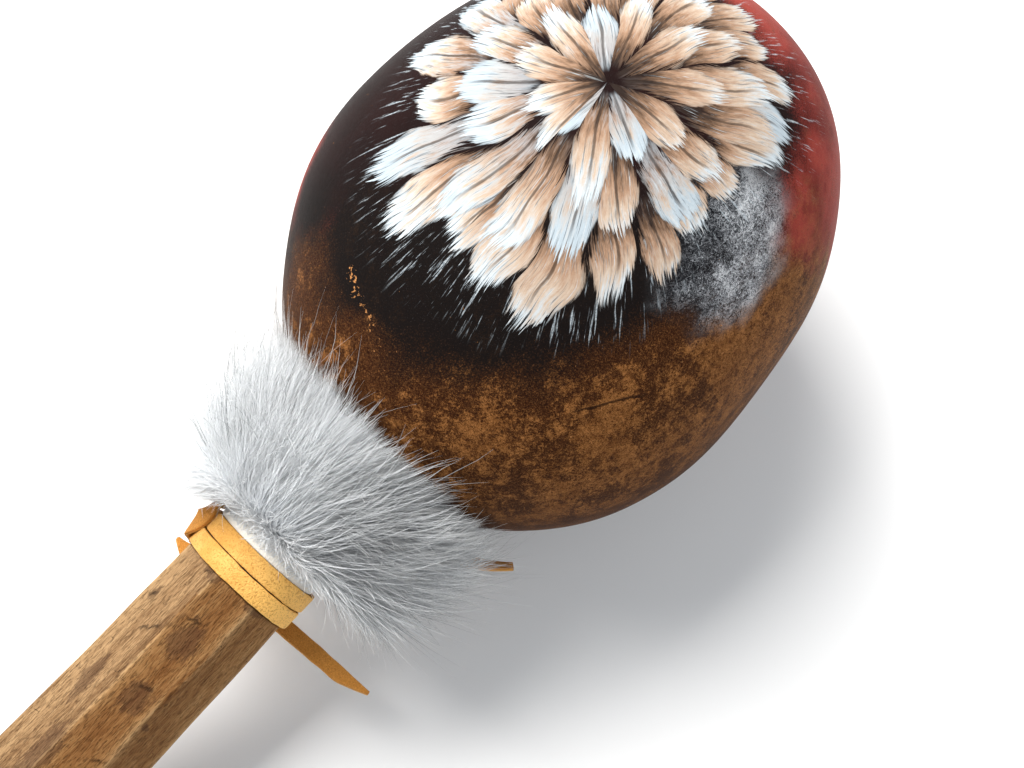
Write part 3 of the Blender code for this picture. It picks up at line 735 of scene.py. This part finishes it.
def hide_finish():
    material, place = new_finish("tanned_hide")
    grain = cloudy(place, 1.6, 4.0, 0.6)
    colour = mixed(fade(grain, 0.3, 0.7), shade(196, 186, 170), shade(230, 224, 214))
    station = parts(place)[0]
    # Painted shade: the hide is dark brown under the lace, so that the gap between the turns shows dark.
    colour = mixed(fade(station, 1000 * FUR_START, 1000 * FUR_START - 1.0), colour, shade(58, 38, 22))
    return finished(material, colour, 0.8 + (grain - 0.5) * 0.1, grain, 0.0001)


hide_strip = hide()
hide_strip.data.materials.append(hide_finish())
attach(hide_strip, "rattle")
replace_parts(hide_strip, "fur_collar")

# Fur. White and grey, with painted light and shade that make it whiter towards the window and greyer on the
# far side: a dense mat of underfur that swells out in front of the lace, covered by strands that lie towards
# the gourd and stand off at their tips, with longer and whiter guard hairs and some loose hairs among them.
# Beside the lace the fur is short and white.

FUR_BACK = 0.0240  # the mat's radius where it has swollen out, and next to the gourd
FUR_FRONT = 0.0275
FUR_SWELL = 0.0080
HEM_FLAT = 0.0034  # how far from the lace the mat stays flat on the hide
FUR_LEAN = 0.0016  # how much thicker the fur is on the side away from the window
FUR_SIDES = 128
WAVE_LENGTH = 0.008  # the mat's waves along the rattle, their height, and how often they come round it
WAVE_HEIGHT = 0.0009
WAVE_TURN = 4
MAT_GAP = 0.0002
MAT_BLEND = 16.0


def mat_radius(station):
    rise = min(1.0, max(0.0, (station - FUR_START - HEM_FLAT) / (FUR_SWELL - HEM_FLAT)))
    lace_side = seat_radius(FUR_START) + FIT_GAP + HIDE_THICKNESS
    share = max(0.0, (station - FUR_START - FUR_SWELL) / (-COLLAR_TOP - FUR_START - FUR_SWELL))
    swollen = lace_side + (FUR_BACK - lace_side) * sqrt(1 - (1 - rise) ** 2)
    return swollen + (FUR_FRONT - FUR_BACK) * share


def mat_rings(stations):
    """Rings on the outside of the mat."""
    turn = np.arange(FUR_SIDES) * 2 * pi / FUR_SIDES
    rings = []
    for station in stations:
        radius = mat_radius(station)
        full = min(1.0, (station - FUR_START) / FUR_SWELL)
        round_mat = [(station / WAVE_LENGTH, WAVE_TURN * cos(t), WAVE_TURN * sin(t)) for t in turn]
        waves = np.array([noise.noise(Vector(place)) for place in round_mat])
        radii = radius + full * (WAVE_HEIGHT * waves + FUR_LEAN * np.maximum(0, -np.cos(turn)))
        on_hide = hide_bed(station) + HIDE_THICKNESS + MAT_GAP
        rings.append(ring(station, (radii**MAT_BLEND + on_hide**MAT_BLEND) ** (1 / MAT_BLEND)))
    return rings


def underfur_mat(stations):
    """The mat as a closed piece: outside, and back along the hide."""
    rings = mat_rings(stations)
    for station in reversed(stations):
        rings.append(ring(station, np.full(FUR_SIDES, hide_bed(station) + HIDE_THICKNESS + MAT_GAP / 2)))
    return skinned("underfur_mat", rings, looped=True)


def fur_skin(stations):
    """The mat's outside as an open skin, not laid down yet, for strands to grow on."""
    points, faces = joined(mat_rings(stations))
    skin = bpy.data.meshes.new("fur_skin")
    skin.from_pydata(points, [], faces)
    return skin


def mat_finish():
    material, place = new_finish("underfur")
    station, side = parts(place)[:2]
    lie = cloudy(stretched(place, 0.25, 3.2, 3.2), 1.0, 3.0, 0.6, 0.5)
    beside_lace = 1000 * FUR_START
    band = fade(station + (lie - 0.5) * 2.0, beside_lace + 2.4, beside_lace + 6.0)
    # Painted light and shade: the mat is white on the window side and grey on the far side.
    tone = mixed(fade(side, -14.0, 16.0), shade(126, 126, 128), shade(234, 238, 243))
    colour = mixed(band, shade(244, 240, 229), tone)
    colour = mixed(fade(lie, 0.35, 0.75) * 0.4, colour, shade(236, 236, 238))
    return finished(material, colour, 0.85 + (lie - 0.5) * 0.1, lie, 0.0003)


def added(first, second):
    return first.node("ShaderNodeVectorMath", {"operation": "ADD"}, {0: first, 1: second})


def scaled(direction, amount):
    return direction.node("ShaderNodeVectorMath", {"operation": "SCALE"}, {0: direction, "Scale": amount})


def unit(direction):
    return direction.node("ShaderNodeVectorMath", {"operation": "NORMALIZE"}, {0: direction})


def kept(geometry, name, value, kind="FLOAT_VECTOR", domain="POINT"):
    """Geometry that keeps a value under a name."""
    inputs = {"Geometry": geometry, "Name": name, "Value": value}
    return geometry.node("GeometryNodeStoreNamedAttribute", {"data_type": kind, "domain": domain}, inputs)


def named(start, name, kind="FLOAT_VECTOR"):
    return start.node("GeometryNodeInputNamedAttribute", {"data_type": kind}, {"Name": name})


STRAND_INPUTS = {
    "Skin": "NodeSocketGeometry",
    "Finish": "NodeSocketMaterial",
    "Density": "NodeSocketFloat",
    "Joints": "NodeSocketInt",
    "Length": "NodeSocketFloat",
    "Thickness": "NodeSocketFloat",
    "Root Lift": "NodeSocketFloat",
    "Tip Lift": "NodeSocketFloat",
    "Whirl": "NodeSocketFloat",
    "Stray": "NodeSocketFloat",
    "Tuft": "NodeSocketFloat",
    "Whiteness": "NodeSocketFloat",
    "Seed": "NodeSocketInt",
}
WHIRL_SIDES = (0.014, -0.012)  # sides and heights over which the whirl of the hair sets in
WHIRL_UPS = (-0.012, 0.010)
WINDOW_SIDES = (0.008, 0.020)  # sides over which the two flanks begin
FAR_SIDES = (-0.008, -0.022)
PAINTED_LIGHT_SIDES = (-0.015, 0.013)  # sides over which the hair turns from grey on the far side to white towards the window, as painted shade and light
STANDING = (-0.070, FUR_START)  # stations over which the hair comes to stand by the lace
UPRIGHT = (FUR_START + 0.013, FUR_START + 0.004)
LEANING = (-0.072, -0.060)  # stations over which it comes to lie on the gourd, and gets shorter
SHORTER = (-0.066, -0.0575)
HEM = (FUR_START + 0.003, FUR_START + 0.009)  # stations over which the short white fur beside the lace ends
SWAYS = 140.0  # places in a metre where sway, tuft, length and tone change
TUFTS = 260.0
LENGTHS = 160.0
SHADES = 90.0
GOURD_CLEAR = 0.0005
TONES = 64  # columns of the strands' colour map
HAIR_REST = 0.0004  # height at which a hair that reaches the floor lies on it


def strand_tree():
    """Nodes that grow tapered three-sided strands on a skin, combed along the rattle and drawn into tufts."""
    tree = bpy.data.node_groups.new("fur_strands", "GeometryNodeTree")
    for name, kind in STRAND_INPUTS.items():
        tree.interface.new_socket(name, in_out="INPUT", socket_type=kind)
    tree.interface.new_socket("Strands", in_out="OUTPUT", socket_type="NodeSocketGeometry")
    start = Flow(tree)
    size = {socket.name: Flow(tree, socket) for socket in tree.nodes.new("NodeGroupInput").outputs}

    inputs = {"Mesh": size["Skin"], "Density": size["Density"], "Seed": size["Seed"]}
    points = start.node("GeometryNodeDistributePointsOnFaces", {"use_legacy_normal": False}, inputs)
    normal = Flow(tree, points.output.node.outputs["Normal"])
    points = kept(points, "lift", normal)
    points = kept(points, "root", start.node("GeometryNodeInputPosition", {}, {}))
    inputs = {0: (-1, -1, -1), 1: (1, 1, 1), "Seed": size["Seed"]}
    drawn = start.node("FunctionNodeRandomValue", {"data_type": "FLOAT_VECTOR"}, inputs)
    points = kept(points, "chance", drawn)
    line = start.node("GeometryNodeCurvePrimitiveLine", {}, {"End": (0, 0, 0.001)})
    line = line.node("GeometryNodeResampleCurve", {}, {"Curve": line, "Count": size["Joints"]})
    strands = points.node("GeometryNodeInstanceOnPoints", {}, {"Points": points, "Instance": line})
    strands = strands.node("GeometryNodeRealizeInstances", {}, {0: strands})

    root = named(start, "root")
    lift = named(start, "lift")
    chance = named(start, "chance")
    along = start.node("GeometryNodeSplineParameter", {}, {})
    first, second, third = parts(chance)
    root_station, root_side, root_up = parts(root)
    whirl = fade(root_side, *WHIRL_SIDES) * fade(root_up, *WHIRL_UPS)
    window_flank = fade(root_side, *WINDOW_SIDES)
    flank = window_flank + fade(root_side, *FAR_SIDES)
    by_lace = fade(root_station, *STANDING)
    standing = by_lace * (0.30 + flank * 0.70)
    axial = lift.node("ShaderNodeVectorMath", {"operation": "DOT_PRODUCT"}, {0: lift, 1: (1, 0, 0)}, 1)
    combed = unit(added(scaled(lift, 0 - axial), (1, 0, 0)))
    round_way = unit(vector(root_up * 0, 0 - root_up, root_side))
    combed = unit(added(combed, scaled(round_way, whirl * size["Whirl"])))
    upright = window_flank * fade(root_station, *UPRIGHT)
    combed = scaled(combed, 1 - upright * 0.95)
    sway = cloudy(root, SWAYS, 2.0, 0.5)
    sway = added(Flow(tree, sway.output.node.outputs["Color"]), (-0.5, -0.5, -0.5))
    leaning = 1 - fade(root_station, *LEANING) * (0.5 + window_flank * 0.35)
    root_way = unit(added(added(combed, scaled(lift, size["Root Lift"] * leaning)), scaled(sway, 0.8)))
    rise = size["Tip Lift"] * (1 + third * 0.4) * (0.7 + standing * 1.3) * leaning
    rise = rise * (1 + flank * (by_lace * 1.2 - 0.4))
    tip_way = added(added(combed, scaled(lift, rise)), scaled(sway, 1.9))
    tip_way = unit(added(tip_way, scaled(chance, size["Stray"])))
    tuft = root.node("ShaderNodeTexVoronoi", {}, {"Vector": root, "Scale": TUFTS}, "Position")
    drawn_in = added(tuft, scaled(root, -1.0))
    grown_to = added(scaled(root_way, along - along * along * 0.5), scaled(tip_way, along * along * 0.5))
    past_hem = fade(root_station, *HEM)
    short = 0.30 + past_hem.math("MAXIMUM", window_flank * 0.8) * 0.70
    short = short * (1 - fade(root_station, *SHORTER) * 0.35)
    short = short * (0.70 + cloudy(root, LENGTHS, 2.0, 0.5) * 0.6)
    grown_to = scaled(grown_to, size["Length"] * (1 + first * 0.35) * short)
    place = added(added(root, grown_to), scaled(drawn_in, along * size["Tuft"]))

    station, side, up = parts(place)
    inward = station / SHOULDER_REACH
    shell = (1 - inward * inward).math("MAXIMUM", 0.0).math("SQRT") * GIRTH_RADIUS + GOURD_CLEAR
    radius = (side * side + up * up).math("SQRT")
    push = (shell / radius).math("MAXIMUM", 1.0)
    up_way = lying.col[2].z
    floor_up = station * (-axis_way.z / up_way) - (girth_middle.z - HAIR_REST) / up_way
    place = vector(station, side * push, (up * push).math("MAXIMUM", floor_up))
    strands = strands.node("GeometryNodeSetPosition", {}, {"Geometry": strands, "Position": place})
    strands = kept(strands, "along", along, "FLOAT")

    profile = start.node("GeometryNodeCurvePrimitiveCircle", {}, {"Resolution": 3, "Radius": 0.5})
    profile = kept(profile, "rim", start.node("GeometryNodeSplineParameter", {}, {}), "FLOAT")
    taper = size["Thickness"] * (1 + second * 0.3) * (1.02 - along).math("POWER", 0.6)
    inputs = {"Curve": strands, "Profile Curve": profile, "Scale": taper, "Fill Caps": True}
    fur = strands.node("GeometryNodeCurveToMesh", {}, inputs)
    tone = (cloudy(root, SHADES, 2.0, 0.5) - 0.5) * 1.1 + second * 0.45 + size["Whiteness"]
    # Painted light and shade: strands are whiter towards the window and greyer on the far side; the rest of
    # the tone is random.
    tone = tone + fade(root_side, *PAINTED_LIGHT_SIDES) + fade(root_station, *reversed(HEM)) * 0.6
    tone = tone.math("MAXIMUM", 0.0).math("MINIMUM", 1.0)
    column = ((tone * (TONES - 1)).math("FLOOR") + 0.15 + named(start, "rim", "FLOAT")) / TONES
    fur = kept(fur, "OFBake", vector(column, named(start, "along", "FLOAT"), 0.0), "FLOAT2", "CORNER")
    fur = fur.node("GeometryNodeRealizeInstances", {}, {0: fur})
    fur = fur.node("GeometryNodeSetMaterial", {}, {"Geometry": fur, "Material": size["Finish"]})
    tree.links.new(fur.output, tree.nodes.new("NodeGroupOutput").inputs[0])
    return tree


def strand_finish():
    material = bpy.data.materials.new("fur_strands")
    material.use_nodes = True
    start = Flow(material.node_tree)
    spot = start.node("ShaderNodeUVMap", {"uv_map": "OFBake"}, {})
    column, along = parts(spot)[:2]
    tone = (column * TONES).math("FLOOR") / (TONES - 1)
    grey = ((0.0, shade(78, 81, 86)), (0.45, shade(136, 139, 143)), (1.0, shade(184, 184, 182)))
    white = ((0.0, shade(238, 243, 249)), (0.40, shade(249, 252, 255)), (1.0, shade(252, 254, 255)))
    # The tone picks grey or white strands, so the grey is partly the fur's own and partly painted shade.
    colour = mixed(tone, ramp(along, grey), ramp(along, white))
    surface = material.node_tree.nodes["Principled BSDF"]
    material.node_tree.links.new(colour.output, surface.inputs["Base Color"])
    surface.inputs["Roughness"].default_value = 0.5
    surface.inputs["Sheen Weight"].default_value = 0.8
    return material


strands = strand_tree()
fur_finish = strand_finish()


def grown(name, skin, count, *sizes):
    """A piece of fur strands on a skin, as a plain laid-down mesh. Its sizes are the tree's last inputs."""
    piece = bpy.data.objects.new(name, skin.copy())
    bpy.context.scene.collection.objects.link(piece)
    growth = piece.modifiers.new("growth", "NODES")
    growth.node_group = strands
    density = count / sum(face.area for face in skin.polygons)
    values = dict(zip(list(STRAND_INPUTS)[1:], (fur_finish, density, *sizes)))
    for item in strands.interface.items_tree:
        if item.name in values:
            growth[item.identifier] = values[item.name]
    mesh = bpy.data.meshes.new_from_object(piece.evaluated_get(bpy.context.evaluated_depsgraph_get()))
    piece.modifiers.remove(growth)
    piece.data = mesh
    mesh.transform(lying)
    mesh.shade_smooth()
    for kept_name in ("lift", "root", "chance", "along", "rim"):
        mesh.attributes.remove(mesh.attributes[kept_name])
    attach(piece, "rattle")
    return piece


MAT_STEPS = 56
MAT_BUNCHING = 1.6  # the mat's rings are closest beside the lace
FUZZ_RINGS = slice(5, 22)  # the rings among which each sort of hair grows, and where it ends by the gourd
UNDERFUR_RINGS = slice(17, None)
UNDERFUR_END = -0.0572
GUARD_RINGS = slice(16, None)
GUARD_END = -0.0640

mat_front = -COLLAR_TOP - HIDE_COVERED
mat_shares = [(i / MAT_STEPS) ** MAT_BUNCHING for i in range(MAT_STEPS + 1)]
mat_stations = [FUR_START + (mat_front - FUR_START) * share for share in mat_shares]
underfur = underfur_mat(mat_stations)
underfur.data.materials.append(mat_finish())
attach(underfur, "rattle")
fuzz_bed = fur_skin(mat_stations[FUZZ_RINGS])
fur_bed = fur_skin([s for s in mat_stations[UNDERFUR_RINGS] if s < UNDERFUR_END])
guard_bed = fur_skin([s for s in mat_stations[GUARD_RINGS] if s < GUARD_END])
underfur_sizes = (13500, 3, 0.0088, 0.00012, 0.75, 0.55, 0.9, 0.65, 0.14, 0.04)
for coat in (  # name, bed and number of the hairs, then joints, length and the tree's other sizes in turn
    *((f"underfur_{k + 1}", fur_bed, *underfur_sizes, 11 + k) for k in range(5)),
    ("hem_fuzz", fuzz_bed, 8600, 4, 0.0080, 0.00011, 0.60, 0.35, 0.25, 0.50, 0.05, 1.2, 31),
    ("guard_hairs", guard_bed, 5600, 6, 0.0160, 0.00019, 0.7, 0.50, 0.9, 0.60, 0.28, 0.55, 41),
    ("stray_hairs", guard_bed, 2800, 7, 0.0190, 0.00016, 0.9, 0.70, 1.0, 1.0, 0.0, -0.10, 51),
    ("loose_hairs", guard_bed, 520, 9, 0.0250, 0.00017, 1.0, 0.85, 1.2, 1.4, 0.0, -0.90, 61),
):
    grown(*coat)

# Lower lace. Golden tanned leather cut as one flat strip: two turns side by side over the hide's hem, which
# step along underneath, where the short end crosses outside both turns and the long end leaves with its flesh
# side up. A slack fold of the same leather arches over the turns at one side.

LACE_THICKNESS = 0.0011
LACE_WIDENING = 0.00035  # the leather spreads a little where it is pulled tight
LONG_TAIL = 0.0386
LONG_TAIL_DRIFT = -0.0006
LONG_TAIL_TWIST = radians(38)
LONG_TAIL_TURNED = 0.4  # share of its length in which it has twisted
SHORT_TAIL = 0.0178
SHORT_TAIL_LEAN = 1.05  # how far it leans towards the handle, as a share of the turns' slope
SHORT_TAIL_TWIST = radians(50)
CROSSING_RUN = 0.0160
CROSSING_PLACES = 1.6
STEP_SHARPNESS = 3.0
SINK_START = 0.125
SINK_RUN = 0.167
TAIL_DROOP = 0.0030
TAIL_TAPER = 0.15
TAIL_CUT = 0.78  # share of an end's length at which its slanting cut begins
TAIL_SLANT = 0.8
TAIL_CURVE = 1.25
EDGE_SQUARE = 0.22  # how square the strip's edges are across it, and through its thickness
FACE_SQUARE = 0.32
EDGE_WANDER = 0.07  # share of its width by which the knife strayed
WANDER_LENGTH = 0.0024
FLESH_SHARPNESS = 1.4
LOOP_POINTS = 160
TAIL_POINTS = 48
LACE_SIDES = 24
DOWN = -pi / 2
PITCH = LACE_WIDTH + LACE_SPACE


def smooth(share):
    share = max(0.0, min(1.0, share))
    return share * share * (3 - 2 * share)


def on_turn(station, radius, angle):
    outward = Vector((0, cos(angle), sin(angle)))
    return Vector((station, 0, 0)) + outward * radius, outward, 1.0


def seated(route):
    """A route round the handle, drawn in where its seat is thinner."""
    return [(p - outward * (SEAT_RADIUS - seat_radius(p.x)), outward, share) for p, outward, share in route]


def free_end(side, radius, reach, station_at, twist=0.0, turned_by=1.0, slant=TAIL_SLANT):
    """Points of an end that leaves the turns at their lowest point, to one side, and droops and twists."""
    route = []
    for i in range(1, TAIL_POINTS + 1):
        part = i / TAIL_POINTS
        y = side * reach * part
        place = Vector((station_at(y), y, -radius - TAIL_DROOP * part**2))
        slope = 2 * TAIL_DROOP * part / reach
        cut = max(0.0, (part - TAIL_CUT) / (1 - TAIL_CUT)) ** TAIL_CURVE
        place.x += LACE_WIDTH / 2 * (1 - TAIL_TAPER) * slant * cut
        share = (1 - TAIL_TAPER * part**2) * (1 - slant * cut)
        turned = twist * min(1.0, part / turned_by) ** 2
        outward = Vector((-sin(turned), -side * slope, -cos(turned)))
        route.append((place, outward.normalized(), share))
    return route


def turns(first, stride, radius, count):
    """Whole turns from the lowest point round to it again, each stepping one place along underneath."""
    route = []
    for i in range(count * LOOP_POINTS + 1):
        turn = i / LOOP_POINTS
        whole = floor(turn + 0.5)
        step = whole - 1 + smooth(STEP_SHARPNESS * (turn - whole) + 0.5)
        route.append(on_turn(first + stride * step, radius, DOWN - 2 * pi * turn))
    return route


def step_slope(radius):
    """Slope of a turn at its lowest point, where it steps along, and of an end that runs straight on."""
    return STEP_SHARPNESS * 1.5 * PITCH / (2 * pi * radius)


def lace(name, route, width, flesh_out=False):
    """A laid-down strip with rounded edges along a route of (point, outward direction, share of width)."""
    points = [point for point, outward, share in route]
    round_cut = (np.arange(LACE_SIDES) + 0.5) * 2 * pi / LACE_SIDES
    broad = np.sign(np.cos(round_cut)) * np.abs(np.cos(round_cut)) ** EDGE_SQUARE
    thick = np.sign(np.sin(round_cut)) * np.abs(np.sin(round_cut)) ** FACE_SQUARE
    rings = []
    for i, (point, outward, share) in enumerate(route):
        along = (points[min(i + 1, len(points) - 1)] - points[max(i - 1, 0)]).normalized()
        across = along.cross(outward).normalized()
        up = across.cross(along)
        ragged = noise.noise(point / WANDER_LENGTH)
        side = width / 2 * share * (1 + EDGE_WANDER * ragged)
        skin = LACE_THICKNESS / 2
        rings.append([point + across * side * a + up * skin * b for a, b in zip(broad, thick)])
    strip = skinned(name, rings)
    flesh = strip.data.attributes.new("flesh", "FLOAT", "POINT")
    fleshy = np.clip(0.5 + (FLESH_SHARPNESS if flesh_out else -FLESH_SHARPNESS) * thick, 0, 1)
    flesh.data.foreach_set("value", np.tile(fleshy, len(rings)))
    strip.data.materials.append(lace_leather)
    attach(strip, "rattle")
    return strip


def leather_finish():
    material, place = new_finish("lace_leather")
    tone = cloudy(place, 0.16, 3.0, 0.55)
    grain = cloudy(place, 2.3, 3.0, 0.6, 0.4)
    nap = cloudy(place, 3.4, 4.0, 0.75, 1.0)
    flesh = attribute(place, "flesh")
    smooth_side = mixed(fade(tone, 0.3, 0.7), shade(208, 152, 72), shade(230, 178, 98))
    side, up = parts(place)[1:]
    # Painted light: the smooth side is paler on the upper part of the side away from the window, standing in
    # for light there.
    smooth_side = mixed(fade(side, 3.0, -12.0) * fade(up, -6.0, 0.0), smooth_side, shade(251, 196, 106))
    smooth_side = mixed(fade(grain, 0.52, 0.34) * 0.75, smooth_side, shade(188, 128, 54))
    rough_side = mixed(fade(nap, 0.3, 0.7), shade(178, 112, 42), shade(228, 160, 76))
    back = fade(flesh + (nap - 0.5) * 0.5, 0.35, 0.65)
    colour = mixed(back, smooth_side, rough_side)
    roughness = 0.58 + back * 0.22 + (grain - 0.5) * 0.2
    return finished(material, colour, roughness, grain + nap * back * 0.6, 0.00042, specular_ior_level=0.2)


def lower_lace():
    bed = SEAT_RADIUS + FIT_GAP + HIDE_THICKNESS + FIT_GAP
    radius = bed + LACE_THICKNESS / 2
    over = radius + LACE_THICKNESS + LACE_SPACE
    slope = step_slope(radius)
    front = -LOWER_TIE + PITCH / 2
    back = front - CROSSING_PLACES * PITCH

    def crossing(y):
        return back + (front - back) * smooth(0.5 - y / CROSSING_RUN) - max(0.0, y) * slope * SHORT_TAIL_LEAN

    route = turns(front, -PITCH, radius, 2)
    for i in range(floor((SINK_START + SINK_RUN) * LOOP_POINTS) + 1):
        turn = i / LOOP_POINTS
        angle = DOWN - 2 * pi * turn
        rise = over + (radius - over) * smooth((turn - SINK_START) / SINK_RUN)
        route[i] = on_turn(crossing(over * cos(angle)), rise, angle)
    leaving = route[-1][0].x

    def long_way(y):
        part = -y / LONG_TAIL
        return leaving + slope * y * (1 - part) ** 3 + LONG_TAIL_DRIFT * part

    short = free_end(1, over, SHORT_TAIL, crossing, SHORT_TAIL_TWIST)
    long = free_end(-1, radius, LONG_TAIL, long_way, LONG_TAIL_TWIST, LONG_TAIL_TURNED)
    return lace("lower_lace_strip", seated(short[::-1] + route + long), LACE_WIDTH + LACE_WIDENING)


FOLD_LOW = radians(-8)
FOLD_HIGH = radians(14)
FOLD_TILT = radians(30)
FOLD_HEIGHT = 0.0007
FOLD_WIDTH = 0.0050  # the slack leather is not drawn out narrow
FOLD_ROOT = 0.6  # share of that width where it comes up
FOLD_START = -0.0982
FOLD_END = -0.0868
FOLD_POINTS = 48


def slack_fold():
    """A slack stretch of the lace, flesh side out, which comes up beside the turns and arches over them."""
    under = SEAT_RADIUS + FIT_GAP + HIDE_THICKNESS + LACE_THICKNESS / 2
    over = under + LACE_THICKNESS + 2 * FIT_GAP + FOLD_HEIGHT
    route = []
    for i in range(FOLD_POINTS + 1):
        part = i / FOLD_POINTS
        arch = sin(pi * part)
        angle = FOLD_LOW + (FOLD_HIGH - FOLD_LOW) * arch
        station = FOLD_START + (FOLD_END - FOLD_START) * part
        risen = smooth(2 * arch)
        point = on_turn(station, under + (over - under) * risen, angle)[0]
        tilted = Vector((0, cos(angle + FOLD_TILT * arch), sin(angle + FOLD_TILT * arch)))
        route.append((point, tilted, FOLD_ROOT + (1 - FOLD_ROOT) * risen))
    return lace("slack_fold", seated(route), FOLD_WIDTH, flesh_out=True)


lace_leather = leather_finish()
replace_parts(lower_lace(), "lower_lace")
slack_fold()

# Upper lace. The same leather, one turn on the hide down in the fur. Its long end twists as it comes out of
# the fur at the side, and bends towards the gourd.

UPPER_TIE = 0.0690
UPPER_TAIL = 0.0431
UPPER_TAIL_DRIFT = 0.0119
UPPER_TAIL_BEND = 4.0
UPPER_TAIL_TWIST = radians(72)
UPPER_TAIL_SLANT = 0.35


def upper_lace():
    radius = NECK_RADIUS + FIT_GAP + HIDE_THICKNESS + FIT_GAP + LACE_THICKNESS / 2
    slope = step_slope(radius)
    route = turns(-UPPER_TIE, PITCH, radius, 1)
    entering = route[0][0].x
    leaving = route[-1][0].x

    def long_way(y):
        part = -y / UPPER_TAIL
        return leaving - slope * y * (1 - part) + UPPER_TAIL_DRIFT * part**UPPER_TAIL_BEND

    short = free_end(1, radius, SHORT_TAIL, lambda y: entering - slope * y)
    long = free_end(-1, radius, UPPER_TAIL, long_way, UPPER_TAIL_TWIST, slant=UPPER_TAIL_SLANT)
    return lace("upper_lace_strip", short[::-1] + route + long, LACE_WIDTH)


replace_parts(upper_lace(), "upper_lace")

# Floor, light and camera. A pale floor under a broad soft light from the upper left of the picture, with the
# camera above, square to the rattle's axis but for a small lean towards the handle.

CAMERA_FOCAL = 1900.0  # pixels, in a picture 1024 wide
PIXEL_ON_AXIS = 0.0002235
PICTURE_WIDTH = 1024
PICTURE_TURN = radians(46.56)
AIM_STATION = -0.0249
AIM_SIDE = -0.0137
CAMERA_LEAN = radians(4.41)
LIGHT_AIM = (0, 0, 0.05)

floor_mesh = bpy.data.meshes.new("floor")
floor_mesh.from_pydata([(-2, -2, 0), (2, -2, 0), (2, 2, 0), (-2, 2, 0)], [], [(0, 1, 2, 3)])
floor_piece = bpy.data.objects.new("floor", floor_mesh)
bpy.context.scene.collection.objects.link(floor_piece)
floor_paint = bpy.data.materials.new("floor_paint")
floor_paint.use_nodes = True
floor_paint.node_tree.nodes["Principled BSDF"].inputs["Base Color"].default_value = (0.9, 0.9, 0.9, 1)
floor_paint.node_tree.nodes["Principled BSDF"].inputs["Roughness"].default_value = 0.9
floor_mesh.materials.append(floor_paint)


def soft_light(name, place, target, size, power, colour):
    lamp = bpy.data.lights.new(name, "AREA")
    lamp.size = size
    lamp.energy = power
    lamp.color = colour
    light = bpy.data.objects.new(name, lamp)
    light.location = place
    light.rotation_euler = (Vector(target) - Vector(place)).to_track_quat("-Z", "Y").to_euler()
    bpy.context.scene.collection.objects.link(light)


soft_light("window", (0.20, 1.60, 1.80), LIGHT_AIM, 1.5, 120.0, (1.0, 0.98, 0.95))
soft_light("bounce", (0.6, -1.8, 1.4), LIGHT_AIM, 2.0, 14.0, (0.95, 0.97, 1.0))
sky = bpy.data.worlds.new("sky")
sky.use_nodes = True
sky.node_tree.nodes["Background"].inputs["Color"].default_value = (0.92, 0.96, 1.0, 1)
sky.node_tree.nodes["Background"].inputs["Strength"].default_value = 0.45
bpy.context.scene.world = sky
bpy.context.scene.view_settings.view_transform = "Standard"

lens = bpy.data.cameras.new("camera")
lens.sensor_width = 36.0
lens.lens = lens.sensor_width * CAMERA_FOCAL / PICTURE_WIDTH
camera = bpy.data.objects.new("camera", lens)
right = Vector((cos(PICTURE_TURN), -sin(PICTURE_TURN), 0))
above = Vector((sin(PICTURE_TURN), cos(PICTURE_TURN), 0))
picture = Matrix((right, above, right.cross(above))).transposed()
lean = Matrix.Rotation(-CAMERA_LEAN, 3, "Y")
turned_camera = (lying.to_3x3() @ lean @ picture).to_4x4()
aim = lying @ Vector((AIM_STATION, AIM_SIDE, 0))
turned_camera.translation = aim + turned_camera.col[2].to_3d() * CAMERA_FOCAL * PIXEL_ON_AXIS
camera.matrix_world = turned_camera
bpy.context.scene.collection.objects.link(camera)
bpy.context.scene.camera = camera
